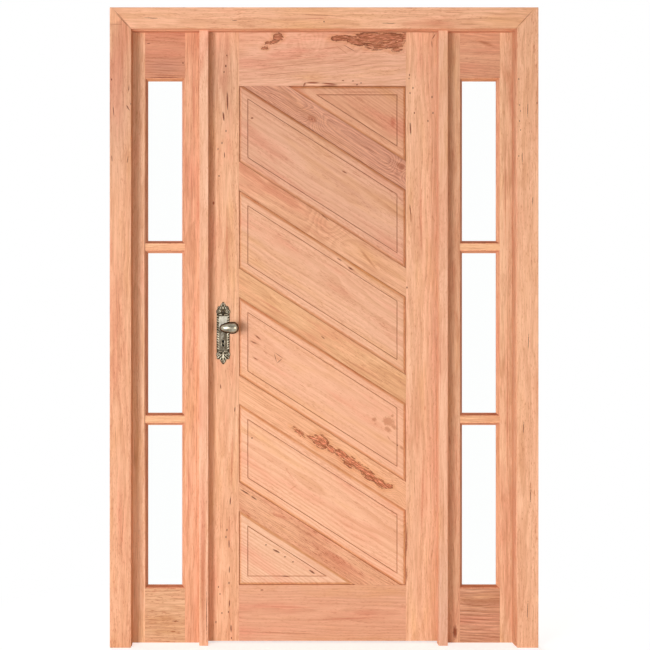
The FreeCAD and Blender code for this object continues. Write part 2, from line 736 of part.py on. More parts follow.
def build_knob(label, y):
    """An egg on its side: half of a long ellipsoid and half of a short one, widest where they meet."""
    halves = []
    for end, length, angle in (("narrow", "knob_narrow_length", -90), ("broad", "knob_broad_length", 90)):
        half = doc.addObject("Part::Ellipsoid", f"{label}_{end}_half")
        half.Angle1 = 0
        half.setExpression("Radius1", size(length))
        half.setExpression("Radius2", size("knob_radius"))
        half.setExpression("Radius3", size("knob_radius"))
        half.Placement.Rotation = FreeCAD.Rotation(FreeCAD.Vector(0, 1, 0), angle)
        half.setExpression("Placement.Base.x", total(handle_x, size("knob_reach")))
        half.setExpression("Placement.Base.y", y)
        half.setExpression("Placement.Base.z", handle_z)
        halves.append(half)
    return halves


def build_handles():
    """Front and back handle, and the square bar that joins them through the leaf."""
    radius = size("neck_radius")
    insert = size("neck_insert")
    stem_length = total(size("plate_thickness"), size("neck_length"), insert)
    reach = total(size("plate_thickness"), size("neck_length"))
    front_y = less(leaf_front_y, reach)
    back_y = total(frame_back_y, reach)
    front_stem = cylinder("front_stem", handle_x, front_y, handle_z, radius, stem_length, True)
    back_stem_y = less(frame_back_y, insert)
    back_stem = cylinder("back_stem", handle_x, back_stem_y, handle_z, radius, stem_length, True)
    front = fuse("handle_front", front_stem, *build_knob("front_knob", front_y))
    back = fuse("handle_back", back_stem, *build_knob("back_knob", back_y))
    half = size("spindle_width") + " / 2"
    across = (less(handle_x, half), total(handle_x, half))
    upright = (less(handle_z, half), total(handle_z, half))
    bar_y = (total(leaf_front_y, insert), less(frame_back_y, insert))
    return [front, back, box("handle_spindle", across, bar_y, upright)]


# Hinges

pivot_x = f"(({leaf_right_x} + {right_step_x}) / 2)"
pivot_y = total(frame_back_y, size("barrel_gap"), size("barrel_radius"))


def hinge_levels():
    """Lower end of each hinge, from the floor up."""
    half = size("hinge_height") + " / 2"
    low = total(leaf_bottom_z, size("hinge_end_distance"))
    high = less(leaf_top_z, size("hinge_end_distance"))
    middle = f"(({low} + {high}) / 2)"
    return [less(place, half) for place in (low, middle, high)]


def hinge_side(label, plate_x, bottom_z, knuckles):
    """A plate and its knuckles, each joined to the plate by a strip of the plate's thickness."""
    plate_y = (less(frame_back_y, size("hinge_plate_width")), frame_back_y)
    pieces = [box(f"{label}_plate", plate_x, plate_y, (bottom_z, total(bottom_z, size("hinge_height"))))]
    share = f"({size('hinge_height')} / {KNUCKLES})"
    length = less(share, size("knuckle_gap"))
    for n in knuckles:
        low = total(bottom_z, f"{n} * {share}", size("knuckle_gap") + " / 2")
        pieces.append(cylinder(f"{label}_knuckle_{n}", pivot_x, pivot_y, low, size("barrel_radius"), length))
        pieces.append(box(f"{label}_strip_{n}", plate_x, (frame_back_y, pivot_y), (low, total(low, length))))
    return pieces


def build_hinges():
    """Three butt hinges: plates in the gap at the leaf's edge, barrels behind the frame."""
    thickness = size("hinge_plate_thickness")
    leaf_plate_x = (leaf_right_x, total(leaf_right_x, thickness))
    frame_plate_x = (less(right_step_x, thickness), right_step_x)
    frame_sides = []
    leaf_sides = []
    for number, bottom_z in enumerate(hinge_levels(), start=1):
        name = f"hinge_{number}"
        height = size("hinge_height")
        fixed = hinge_side(f"{name}_frame", frame_plate_x, bottom_z, range(0, KNUCKLES, 2))
        fixed.append(cylinder(f"{name}_pin", pivot_x, pivot_y, bottom_z, size("pin_radius"), height))
        frame_sides.append(fuse(f"{name}_frame_side", *fixed))
        moving = fuse(f"{name}_leaf_blank", *hinge_side(f"{name}_leaf", leaf_plate_x, bottom_z, range(1, KNUCKLES, 2)))
        bore_radius = total(size("pin_radius"), size("pin_slack"))
        bore = cylinder(f"{name}_bore", pivot_x, pivot_y, bottom_z, bore_radius, height)
        leaf_sides.append(cut(f"{name}_leaf_side", moving, bore))
    return [group("hinge_frame_plates", *frame_sides), group("hinge_leaf_plates", *leaf_sides)]


def build_left_mullion():
    """The post on the lock side, with a recess for the strike plate."""
    post = build_mullion("mullion_left_post", left_mullion_x, doorway_x, left_step_x)
    recess_x = (strike_x()[0], total(left_step_x, PAST))
    recess = box("strike_recess", recess_x, faceplate_y(), faceplate_z(size("strike_height")))
    return cut("mullion_left", post, recess, *strike_holes("mullion"))


def build_strike():
    plate = box("strike_blank", strike_x(), faceplate_y(), faceplate_z(size("strike_height")))
    return cut("strike_plate", plate, *strike_holes("strike"))


def build_part():
    pieces = build_jambs()
    pieces.append(build_head())
    pieces.append(build_left_mullion())
    pieces.append(build_mullion("mullion_right", right_light_x, right_mullion_x, right_step_x))
    pieces += build_casings()
    pieces += build_sidelight("left", left_light_x, left_mullion_x)
    pieces += build_sidelight("right", right_light_x, right_jamb_x)
    pieces += build_leaf()
    pieces.append(build_faceplate())
    pieces.append(build_strike())
    front_y = less(leaf_front_y, size("plate_thickness"))
    back_y = total(frame_back_y, size("plate_thickness"))
    pieces.append(build_long_plate("long_plate_front", front_y, leaf_front_y))
    pieces.append(build_long_plate("long_plate_back", frame_back_y, back_y))
    pieces += build_handles()
    pieces += build_hinges()
    return pieces


def check(pieces):
    """Stops before anything is written if an object failed or a piece isn't a sound solid."""
    failed = [obj.Name for obj in doc.Objects if {"Invalid", "Error"} & set(obj.State)]
    if failed:
        sys.exit(f"failed objects: {failed}")
    for piece in pieces:
        shape = piece.Shape
        if shape.isNull() or not shape.isValid() or not shape.Solids:
            sys.exit(f"{piece.Label} has no sound solid")


pieces = build_part()
doc.recompute()
check(pieces)
os.makedirs("parts", exist_ok=True)
for piece in pieces:
    piece.Shape.exportStep(f"parts/{piece.Label}.step")
print(f"{len(pieces)} nodes written")
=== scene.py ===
"""Looks of the entrance door with sidelights: bare sanded wood, clear panes and aged brass.

Metres, in the part's own frame: X along the wall, +Y into the wall, Z up.
"""

import bpy
import functools
import itertools
import math
import random
from collections import namedtuple
from mathutils import Euler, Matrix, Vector


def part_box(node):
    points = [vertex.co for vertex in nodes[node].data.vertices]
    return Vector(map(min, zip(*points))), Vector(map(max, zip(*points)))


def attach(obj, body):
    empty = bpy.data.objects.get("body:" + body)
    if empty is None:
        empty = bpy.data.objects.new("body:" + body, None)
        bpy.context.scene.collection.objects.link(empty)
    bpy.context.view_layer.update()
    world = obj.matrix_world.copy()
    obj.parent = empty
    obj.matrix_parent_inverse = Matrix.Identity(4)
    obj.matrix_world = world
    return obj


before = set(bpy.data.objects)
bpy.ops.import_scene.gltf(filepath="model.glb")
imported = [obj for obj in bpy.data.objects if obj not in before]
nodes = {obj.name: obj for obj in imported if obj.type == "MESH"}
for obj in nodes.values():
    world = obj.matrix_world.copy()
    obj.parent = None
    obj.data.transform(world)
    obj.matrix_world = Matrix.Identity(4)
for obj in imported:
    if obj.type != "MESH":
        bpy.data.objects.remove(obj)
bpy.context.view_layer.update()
scene = bpy.context.scene
random.seed(11)

# The photograph's viewpoint: in front of the leaf's left edge, with its picture shifted on to the door
EYE = Vector((0.2894, -4.259, 1.256))
LENS = 69.5
SENSOR = 36.0
SHIFT_X = 0.1816
SHIFT_Y = -0.0756
PIXELS = 650

RAIL_GRAIN = 0.0
POST_GRAIN = -math.pi / 2
SLANT_GRAIN = math.radians(32.6)

# Front faces along Y, and the leaf's thickness
CASING_Y = -0.022
FRAME_Y = 0.0
LEAF_Y = 0.038
LEAF_THICKNESS = 0.035


def pixel_size(depth):
    """Metres that one pixel of the photograph covers, on an upright plane at this depth."""
    return (depth - EYE.y) * SENSOR / LENS / PIXELS


def seen_at(px, py, depth):
    """The point of that plane that the photograph shows at a pixel."""
    size = pixel_size(depth)
    x = EYE.x + (px - PIXELS * (0.5 - SHIFT_X)) * size
    return x, depth, EYE.z - (py - PIXELS * (0.5 + SHIFT_Y)) * size


# Shader graphs


def linear(red, green, blue):
    """A colour from 0-255 display values, with alpha 1."""
    shares = (c / 255 for c in (red, green, blue))
    return (*(s / 12.92 if s <= 0.04 else ((s + 0.055) / 1.055) ** 2.4 for s in shares), 1.0)


class Graph:
    """Short calls that add nodes to one shader tree."""

    def __init__(self, tree):
        self.tree = tree
        tree.nodes.clear()

    def feed(self, socket, value):
        if isinstance(value, bpy.types.NodeSocket):
            self.tree.links.new(value, socket)
        else:
            socket.default_value = value

    def node(self, kind, inputs=None, **settings):
        node = self.tree.nodes.new(f"ShaderNode{kind}")
        for name, value in settings.items():
            setattr(node, name, value)
        for name, value in (inputs or {}).items():
            self.feed(node.inputs[name], value)
        return node.outputs

    def math(self, operation, a, b=0.0, c=0.0):
        return self.node("Math", {0: a, 1: b, 2: c}, operation=operation)[0]

    def times(self, a, b, plus=0.0):
        return self.math("MULTIPLY_ADD", a, b, plus)

    def vector(self, operation, a, b=(0, 0, 0)):
        outputs = self.node("VectorMath", {0: a, 1: b}, operation=operation)
        return outputs["Value" if operation == "LENGTH" else "Vector"]

    def own(self, kind="Object"):
        """The shaded point or its normal, in the coordinates of the piece."""
        return self.node("TexCoord")[kind]

    def axis(self, vector, name):
        return self.node("SeparateXYZ", {"Vector": vector})[name]

    def noise(self, place, scale, detail=2.0, roughness=0.5, output="Fac"):
        """Noise of another scale along each axis."""
        spread = self.vector("MULTIPLY", place, scale)
        inputs = {"Vector": spread, "Scale": 1.0, "Detail": detail, "Roughness": roughness}
        return self.node("TexNoise", inputs)[output]

    def drift(self, place, scale, reach, detail=2.0, roughness=0.5):
        """A vector that wanders round zero."""
        wander = self.vector("SUBTRACT", self.noise(place, scale, detail, roughness, "Color"), (0.5, 0.5, 0.5))
        return self.vector("MULTIPLY", wander, reach)

    def step(self, value, low, high):
        """0 at low, 1 at high and smooth between."""
        inputs = {"Value": value, "From Min": low, "From Max": high}
        return self.node("MapRange", inputs, interpolation_type="SMOOTHSTEP")["Result"]

    def mix(self, share, first, second, blend="MIX"):
        inputs = {"Factor": share, "A": first, "B": second}
        return self.node("Mix", inputs, data_type="RGBA", blend_type=blend)["Result"]

    def tint(self, share, first, second):
        """The first colour, multiplied by the second one."""
        return self.mix(share, first, second, "MULTIPLY")

    def bump(self, strength, distance, height):
        return self.node("Bump", {"Strength": strength, "Distance": distance, "Height": height})["Normal"]

    def either(self, share, first, second):
        """Two shaders, mixed."""
        return self.node("MixShader", {0: share, 1: first, 2: second})["Shader"]

    def principled(self, **inputs):
        """A Principled shader; underscores in the names stand for spaces."""
        inputs = {name.replace("_", " "): value for name, value in inputs.items()}
        return self.node("BsdfPrincipled", inputs)["BSDF"]

    def show(self, shader, output="OutputMaterial"):
        self.node(output, {"Surface": shader})

    def seen(self):
        """1 where a surface is looked at, by itself or through glass or in metal, and 0 where it only lights."""
        path = self.node("LightPath")
        seen = self.math("MAXIMUM", path["Is Camera Ray"], path["Is Transmission Ray"])
        return self.math("MAXIMUM", seen, path["Is Glossy Ray"])


def new_material(name):
    material = bpy.data.materials.new(name)
    material.use_nodes = True
    return material, Graph(material.node_tree)


def new_group(name, inputs, outputs):
    """A node group: its graph and its inputs, from the names of its sockets by kind."""
    tree = bpy.data.node_groups.new(name, "ShaderNodeTree")
    for way, sockets in (("INPUT", inputs), ("OUTPUT", outputs)):
        for kind, names in sockets.items():
            for socket in names:
                tree.interface.new_socket(socket, in_out=way, socket_type=f"NodeSocket{kind}")
    return Graph(tree), tree.nodes.new("NodeGroupInput").outputs


def finish_group(g, results):
    sockets = g.tree.nodes.new("NodeGroupOutput").inputs
    for name, value in results.items():
        g.feed(sockets[name], value)
    return g.tree


# Wood


def wood_group():
    """Sawn wood in a board's own place: X along the grain, Y through the board, Z across it."""
    inputs = {
        "Vector": ("Place", "Seed", "Pith"),
        "Color": ("Light", "Dark"),
        "Float": ("Ring width", "Rings", "Streaks", "Pores", "Blush", "Swell"),
    }
    g, given = new_group("sawn_wood", inputs, {"Color": ("Color",), "Float": ("Height",)})
    seeded = g.vector("ADD", given["Place"], given["Seed"])
    shift = g.drift(seeded, (1.6, 5, 5), (0, 0.03, 0.03))
    small_shift = g.drift(seeded, (9, 30, 30), (0, 0.006, 0.006))
    bent = g.vector("ADD", g.vector("ADD", seeded, shift), small_shift)
    waved = g.vector("ADD", g.vector("ADD", given["Place"], shift), small_shift)
    waved = g.vector("ADD", waved, g.vector("MULTIPLY", given["Pith"], (0, -1, -1)))
    # the grain leans a little along the board and swells round a knot
    lean = g.times(g.axis(given["Pith"], "X"), g.axis(given["Place"], "X"))
    leaned = g.vector("ADD", waved, g.node("CombineXYZ", {"Z": lean})["Vector"])
    radius = g.math("ADD", g.vector("LENGTH", g.vector("MULTIPLY", leaned, (0, 1, 1))), given["Swell"])
    uneven = g.noise(seeded, (3, 22, 22))
    turns = g.times(uneven, 1.1, g.math("DIVIDE", radius, given["Ring width"]))
    part = g.math("FRACT", turns)
    ring = g.times(g.step(part, 0.2, 0.88), g.step(part, 1.0, 0.88))
    broad = g.noise(bent, (1.2, 24, 24))
    streak = g.noise(bent, (4, 115, 115), 3, 0.6)
    fine = g.noise(bent, (15, 340, 340), 2, 0.6)
    cloud = g.noise(seeded, (3, 9, 9))
    tone = g.times(ring, given["Rings"])
    for noise, share in ((broad, 0.8), (streak, 1.3), (fine, 2.3), (cloud, 0.9)):
        centred = g.math("SUBTRACT", noise, 0.5)
        tone = g.times(g.times(centred, share), given["Streaks"], tone)
    tone = g.node("Clamp", {"Value": g.math("ADD", tone, 0.35), "Min": -0.4, "Max": 1.5})["Result"]
    color = g.mix(tone, given["Light"], given["Dark"])
    # patches of a pinker and of a yellower wood
    hue = g.noise(seeded, (2.5, 14, 14), 3, 0.6)
    color = g.tint(g.times(g.step(hue, 0.5, 0.75), given["Blush"]), color, linear(250, 226, 226))
    color = g.tint(g.times(g.step(hue, 0.5, 0.25), given["Blush"]), color, linear(250, 246, 226))
    # pores are short dark dashes along the grain, and a few are long and open
    where = g.noise(seeded, (3, 30, 30))
    short = g.times(where, 0.3, g.noise(bent, (75, 560, 560), 1))
    long = g.times(where, 0.35, g.noise(bent, (22, 300, 300), 1))
    pores = g.math("MAXIMUM", g.times(g.step(short, 0.74, 0.88), 0.7), g.step(long, 0.90, 0.96))
    pores = g.times(pores, given["Pores"])
    color = g.tint(pores, color, linear(204, 146, 112))
    height = g.times(pores, -0.5, g.times(fine, 0.6, g.times(ring, -0.25)))
    return finish_group(g, {"Color": color, "Height": height})


def mark_group():
    """A ragged oval on a board's face: 1 inside and 0 outside."""
    inputs = {"Vector": ("Place", "Middle", "Reach", "Turn"), "Float": ("Ragged", "Soft")}
    g, given = new_group("wood_mark", inputs, {"Float": ("Mask", "Inside")})
    inputs = {"Vector": given["Place"], "Location": given["Middle"], "Rotation": given["Turn"], "Scale": given["Reach"]}
    local = g.node("Mapping", inputs, vector_type="TEXTURE")["Vector"]
    ragged = g.node("CombineXYZ", {"X": given["Ragged"], "Z": given["Ragged"]})["Vector"]
    local = g.vector("ADD", local, g.drift(given["Place"], (150, 150, 150), ragged, 3, 0.6))
    away = g.vector("LENGTH", g.vector("MULTIPLY", local, (1, 0, 1)))
    mask = g.step(away, 1.0, g.math("SUBTRACT", 1.0, given["Soft"]))
    return finish_group(g, {"Mask": mask, "Inside": g.math("SUBTRACT", 1.0, away)})


WOOD = wood_group()
MARK = mark_group()

# What marks do to the wood: its colour is multiplied by the ink
INKS = {
    # dull is painted shade: a broad, soft darkening
    "dull": linear(243, 246, 252),
    "slit": linear(140, 100, 84),
    "rim": linear(172, 130, 110),
    "stain": linear(228, 208, 196),
    "red": linear(240, 214, 208),
    "pale": (1.16, 1.2, 1.22, 1.0),
}
Mark = namedtuple("Mark", "ink px py long wide lean ragged soft")
# How far the marks reach behind a board's front face
MARK_REACH = 0.012


def spot(px, py, wide, tall, ink="slit", ragged=0.5, soft=0.5, lean=0):
    """A mark at a pixel of the photograph, with its width and height in pixels."""
    return Mark(ink, px, py, wide, tall, lean, ragged, soft)


def blob(px, py, long, wide, lean=0):
    """A patch of ingrown bark, as long as given along its lean."""
    return Mark("bark", px, py, long, wide, lean, 0.0, 0.5)


def line(ink, x0, y0, x1, y1, wide=1.2, ragged=0.25, soft=0.6):
    """A mark from one pixel of the photograph to another."""
    run, fall = x1 - x0, y1 - y0
    lean = math.degrees(math.atan2(fall, run))
    return Mark(ink, (x0 + x1) / 2, (y0 + y1) / 2, math.hypot(run, fall) + wide, wide, lean, ragged, soft)


# Lines in each ink, in the order of INKS
dull, slit, rim, stain, red, pale = (functools.partial(line, ink) for ink in INKS)


def knot_swell(g, place, knots, depth):
    """The rings' shift round each knot: at the knot its full height, and less with the distance."""
    swell = 0.0
    for px, py, reach, height in knots:
        away = g.vector("SUBTRACT", place, seen_at(px, py, depth))
        distance = g.vector("LENGTH", g.vector("MULTIPLY", away, (1, 0.3, 1)))
        share = g.math("DIVIDE", distance, reach * pixel_size(depth))
        swell = g.times(g.math("EXPONENT", g.times(g.times(share, share), -1.0)), height, swell)
    return swell


def masked(g, place, marks, depth, output):
    """The largest value that the marks give at a place."""
    size = pixel_size(depth) / 2
    largest = None
    for mark in marks:
        inputs = {
            "Place": place,
            "Middle": seen_at(mark.px, mark.py, depth),
            "Reach": (mark.long * size, 1.0, mark.wide * size),
            "Turn": (0.0, math.radians(mark.lean), 0.0),
            "Ragged": mark.ragged,
            "Soft": mark.soft,
        }
        value = g.node("Group", inputs, node_tree=MARK)[output]
        largest = value if largest is None else g.math("MAXIMUM", largest, value)
    return largest


def front_only(g, place, depth):
    """1 on a board's front and 0 on its back."""
    return g.math("LESS_THAN", g.axis(place, "Y"), depth + MARK_REACH)


def add_marks(g, place, color, marks, depth):
    """The marks on a board's front face, one ink after the other; also returns how deep they are."""
    front = front_only(g, place, depth)
    dent = 0.0
    for ink, tone in INKS.items():
        drawn = [mark for mark in marks if mark.ink == ink]
        if drawn:
            mask = g.times(masked(g, place, drawn, depth, "Mask"), front)
            color = g.tint(mask, color, tone)
            if ink == "slit":
                dent = g.math("ADD", mask, dent)
    return color, dent


def add_bark(g, place, local, color, blobs, depth):
    """Bark grown into the wood: brown patches with torn edges, dark rims and slivers of wood inside."""
    torn = g.vector("ADD", place, g.drift(local, (70, 300, 300), (0.020, 0, 0.011), 3, 0.65))
    torn = g.vector("ADD", torn, g.drift(place, (170, 170, 170), (0.010, 0, 0.008), 2, 0.6))
    inside = masked(g, torn, blobs, depth, "Inside")
    split = g.noise(local, (26, 240, 240), 3, 0.6)
    inside = g.times(g.step(split, 0.50, 0.66), -0.55, inside)
    front = front_only(g, place, depth)
    fill = g.times(g.step(inside, 0.0, 0.10), front)
    core = g.step(inside, 0.12, 0.34)
    streak = g.noise(local, (45, 420, 420), 3, 0.65)
    bark = g.mix(g.step(streak, 0.42, 0.60), linear(206, 128, 90), linear(142, 80, 48))
    bark = g.mix(core, linear(128, 70, 42), bark)
    bark = g.mix(g.times(g.step(streak, 0.41, 0.33), core), bark, linear(228, 166, 130))
    halo = g.times(g.step(inside, -0.9, 0.05), front)
    color = g.tint(g.times(halo, 0.7), color, linear(244, 228, 205))
    return g.mix(fill, color, bark), fill


def shade_hollow(g, place, color):
    """Painted shade on the panels' borders: they darken with their depth under the leaf's faces, less so where they
    face the lock side.
    """
    half = LEAF_THICKNESS / 2
    beside = g.math("ABSOLUTE", g.math("SUBTRACT", g.axis(place, "Y"), LEAF_Y + half))
    below = g.math("SUBTRACT", half, beside)
    # the strength of the painted shade is patchy
    shade_patches = g.noise(place, (30, 30, 30))
    share = g.times(g.step(below, 0.0012, 0.0045), g.times(shade_patches, 0.9, 0.5))
    facing = g.step(g.axis(g.own("Normal"), "X"), -0.15, -0.35)
    share = g.times(share, g.times(facing, -0.35, 1.0))
    color = g.tint(share, color, linear(230, 214, 184))
    # painted shade: the floor of the narrow groove round the field is the darkest
    flat = g.step(g.math("ABSOLUTE", g.axis(g.own("Normal"), "Y")), 0.95, 0.98)
    deep = g.times(g.times(g.step(below, 0.0048, 0.0058), flat), g.times(shade_patches, 1.2, 0.35))
    return g.tint(deep, color, linear(188, 120, 68))


def wood(
    name, grain, middle, seed, tone, depth=LEAF_Y, level=(1.0, 1.0, 1.0), pith=(0.02, 0.09, 0.01), ring_width=0.007,
    rings=0.3, streaks=1.0, pores=0.5, blush=0.8, knots=(), marks=(), bark=(), bark_level=(1.0, 1.0, 1.0),
    hollow=False, edges=(),
):
    """A board's material; level is how much of its tone is seen in red, green and blue."""
    material, g = new_material(name)
    place = g.own()
    inputs = {"Vector": place, "Location": middle, "Rotation": (0, grain, 0)}
    local = g.node("Mapping", inputs, vector_type="TEXTURE")["Vector"]
    chance = random.Random(seed)
    inputs = {
        "Place": local,
        "Seed": tuple(chance.uniform(-40, 40) for _ in range(3)),
        "Pith": pith,
        "Light": tone[0],
        "Dark": tone[1],
        "Ring width": ring_width,
        "Rings": rings,
        "Streaks": streaks,
        "Pores": pores,
        "Blush": blush,
        "Swell": knot_swell(g, place, knots, depth),
    }
    sawn = g.node("Group", inputs, node_tree=WOOD)
    color, dent = add_marks(g, place, sawn["Color"], marks, depth)
    if bark:
        color, bark_dent = add_bark(g, place, local, color, bark, depth)
        color = g.tint(bark_dent, color, (*bark_level, 1.0))
        dent = g.math("ADD", dent, bark_dent)
    # painted shade in the panels' hollows
    if hollow:
        color = shade_hollow(g, place, color)
    # painted shade on the faces that turn the given ways
    for axis, way, shade in edges:
        facing = g.times(g.axis(g.own("Normal"), axis), way)
        color = g.tint(g.step(facing, 0.3, 0.5), color, shade)
    # painted light: the wood is a little brighter towards the floor
    painted_light_fade = g.times(g.axis(place, "Z"), -0.07, 1.075)
    levels = {axis: g.times(painted_light_fade, share) for axis, share in zip("XYZ", level)}
    color = g.tint(1.0, color, g.node("CombineXYZ", levels)["Vector"])
    surface = g.principled(
        Base_Color=color,
        Roughness=g.times(sawn["Height"], -0.12, 0.72),
        Specular_IOR_Level=0.3,
        Normal=g.bump(0.35, 0.0006, g.math("SUBTRACT", sawn["Height"], dent)),
    )
    g.show(surface)
    return material


def middle_of(node):
    low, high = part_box(node)
    return (low + high) / 2


def ease_edges(piece, width):
    """Welds the imported faces together and rounds the sharp edges."""
    weld = piece.modifiers.new("weld", "WELD")
    weld.merge_threshold = 0.00001
    bevel = piece.modifiers.new("ease", "BEVEL")
    bevel.width = width
    bevel.segments = 2
    bevel.limit_method = "ANGLE"
    bevel.angle_limit = math.radians(25)


def dress(piece, material):
    piece.data.materials.clear()
    piece.data.materials.append(material)


# Each kind of board: its slot, its front face, how strong its streaks are and how round its edges
KINDS = {
    "casing": ("casing_wood", CASING_Y, 0.75, 0.0012),
    "jamb": ("frame_wood", FRAME_Y, 1.0, 0.0006),
    "frame": ("frame_wood", FRAME_Y, 1.0, 0.0006),
    "mullion": ("frame_wood", FRAME_Y, 0.8, 0.0012),
    "sidelight": ("sash_wood", LEAF_Y, 1.0, 0.0006),
    "leaf": ("leaf_wood", LEAF_Y, 0.75, 0.0006),
    "slant": ("slant_wood", LEAF_Y, 0.7, 0.0006),
    "raised": ("panel_wood", LEAF_Y, 0.42, 0.0006),
}
SEEDS = itertools.count(100)

SALMON = (linear(248, 188, 150), linear(216, 148, 110))
PALE = (linear(253, 197, 162), linear(230, 164, 128))
RUST = (linear(226, 158, 126), linear(186, 116, 86))
PINK = (linear(226, 166, 136), linear(178, 116, 92))
TAN = (linear(246, 192, 146), linear(212, 148, 104))
ORANGE = (linear(250, 190, 148), linear(220, 152, 112))


def board(node, grain, tone, *marks, **looks):
    """Dresses one board; the places of its marks are pixels of the photograph."""
    kind = node.split("_")[0]
    slot, depth, streaks, edge = KINDS[kind]
    looks = {"depth": depth, "streaks": streaks, "hollow": kind == "raised", "marks": marks, **looks}
    dress(nodes[node], wood(f"wood_{node}", grain, middle_of(node), next(SEEDS), tone, **looks))
    ease_edges(nodes[node], edge)


board(
    "casing_left", POST_GRAIN, SALMON,
    rim(110.5, 7.5, 132.6, 31, 0.9, 0.05), spot(114, 15, 19, 19, "pale", 0.1, 0.3),
    stain(109, 24.4, 124, 24.2, 0.9, 0.1, 0.5), dull(117, 24, 117, 190, 60, 0.1, 0.9), spot(111.5, 79.5, 1.6, 2.6),
    slit(113, 105, 114, 117, 1.0, 0.9), slit(129, 85, 128.6, 92, 1.0, 0.9), slit(126.5, 105, 129.3, 110, 1.6, 1.6),
    slit(111.6, 155, 112.2, 162, 1.1, 0.8), slit(128, 156, 127.5, 163, 0.9, 1.0), spot(131, 104, 1.4, 3.0),
    stain(120, 300, 119, 318, 0.8), stain(115, 420, 117, 470, 1.0, 0.8), stain(124, 505, 121, 560, 1.2, 0.8),
    red(113, 560, 115, 600, 0.9, 0.6),
    level=(0.965, 0.96, 0.94), pores=0.6, pith=(0.004, 0.05, 0.012),
)
board(
    "casing_right", POST_GRAIN, SALMON,
    rim(536.5, 7.5, 514.6, 31, 0.8, 0.05), spot(518.8, 79, 1.5, 2.0, "slit", 0.3),
    spot(519.6, 105, 1.1, 1.8, "slit", 0.3), spot(520.6, 111, 1.1, 1.8, "slit", 0.3),
    spot(519.6, 121, 1.1, 2.0, "slit", 0.3), spot(520.6, 130, 1.1, 1.8, "slit", 0.3),
    spot(518.8, 156, 1.2, 1.8, "slit", 0.3), spot(537, 103, 1.2, 2.4, "slit", 0.5),
    slit(528, 100, 527.5, 118, 0.9, 1.1), slit(522, 150, 522.4, 164, 0.8, 1.2), slit(533, 196, 532.5, 206, 0.9, 1.0),
    stain(520, 250, 520.5, 270, 0.9, 0.8), slit(529, 330, 528, 352, 0.9, 1.4), slit(524, 420, 523, 436, 0.9, 1.2),
    slit(531, 486, 530.4, 505, 1.0, 1.2), stain(521, 560, 521.5, 590, 1.0, 0.8), slit(528, 600, 527, 622, 0.9, 1.4),
    level=(1.06, 1.12, 1.14), pores=0.8, blush=0.4,
)
board(
    "casing_head", RAIL_GRAIN, SALMON,
    rim(111.5, 7.5, 133.6, 31, 0.8, 0.05), rim(535.5, 7.5, 513.6, 31, 0.7, 0.05), slit(142, 17.5, 160, 18.5, 0.8, 1.2),
    stain(166, 13, 180, 13.4, 0.8, 0.9), stain(150, 24, 175, 25, 0.8, 0.7), slit(232, 20.4, 238, 20.6, 0.9, 1.0),
    stain(296, 14, 340, 16, 1.6, 0.7), red(300, 19, 330, 18, 1.4, 0.6), spot(324, 21.6, 1.5, 2.2),
    slit(380, 23, 398, 23.4, 0.7, 1.2), stain(440, 12, 470, 13, 1.0, 0.8), stain(452, 25, 486, 24, 0.8, 0.8),
    level=(1.08, 1.12, 1.14), pith=(0.01, 0.06, -0.02), pores=0.6,
)
# jamb_left is darkened and browned, a painted shade of the casing's shadow
board("jamb_left", POST_GRAIN, SALMON, level=(0.84, 0.76, 0.64))
board("jamb_right", POST_GRAIN, SALMON, level=(0.88, 0.9, 0.9))
board("frame_head", RAIL_GRAIN, SALMON)
board(
    "mullion_left", POST_GRAIN, PALE,
    slit(206.4, 588, 206.8, 640, 0.9, 1.6), red(203, 420, 203, 650, 9, 0.2, 0.95),
    stain(203, 520, 203, 660, 9, 0.2, 0.95), stain(206.3, 400, 206.8, 470, 0.8, 0.8),
    level=(1.0, 1.02, 1.03),
)
board(
    "mullion_right", POST_GRAIN, PALE,
    red(440, 300, 440.5, 420, 1.0, 0.6), stain(443.5, 470, 443, 560, 1.0, 0.8), dull(442, 530, 442, 710, 40, 0.1, 0.9),
    level=(0.97, 0.97, 0.97),
)
# painted light lifts this stile's colour against the casing's shadow, and the rim line along the bead is a painted
# shadow
board(
    "sidelight_left_outer_stile", POST_GRAIN, SALMON,
    rim(144.9, 79, 144.9, 560, 1.1, 0.02, 0.5),
    level=(1.06, 1.2, 1.26), streaks=0.8,
)
board(
    "sidelight_left_inner_stile", POST_GRAIN, SALMON,
    red(193.5, 60, 194, 150, 3.4, 0.5, 0.9), red(191.5, 150, 192, 240, 2.6, 0.5, 0.9),
    red(194.5, 280, 193.5, 400, 3.2, 0.5, 0.9), red(188, 420, 189, 560, 3.0, 0.5, 0.9),
    stain(196.6, 300, 196.8, 600, 1.2, 0.4, 0.9),
)
# the rim line along this rail's lower edge is a painted shadow at the bead
board(
    "sidelight_left_top_rail", RAIL_GRAIN, RUST,
    rim(146, 77.2, 184, 77.4, 1.0, 0.02, 0.5), dull(146, 66, 184, 66, 22, 0.1, 0.9),
    stain(146, 62, 184, 66, 1.0, 0.5, 0.9), stain(146, 69, 184, 72, 1.2, 0.5, 0.9),
    stain(150, 74.5, 180, 75.5, 2.4, 0.5, 0.9), spot(183, 63, 1.4, 2.4), slit(147, 43.5, 150, 43.5, 1.0),
    level=(1.04, 1.08, 1.06), streaks=0.5, pith=(0.03, 0.05, 0.02),
)
board(
    "sidelight_left_bottom_rail", RAIL_GRAIN, TAN,
    stain(156, 597, 163, 597.4, 1.4, 0.9), stain(164, 613, 171, 613.4, 1.4, 0.9), rim(172, 621, 179, 621.4, 1.6, 1.0),
    stain(152, 635, 162, 635.5, 1.2, 0.9),
    level=(0.88, 0.92, 0.98), pores=0.8,
)
board("sidelight_left_bars", RAIL_GRAIN, ORANGE, level=(1.04, 1.14, 1.12))
board(
    "sidelight_right_outer_stile", POST_GRAIN, SALMON,
    red(505, 120, 505.6, 260, 1.6, 0.6), red(508, 300, 507, 520, 1.8, 0.5),
    level=(1.06, 1.24, 1.27),
)
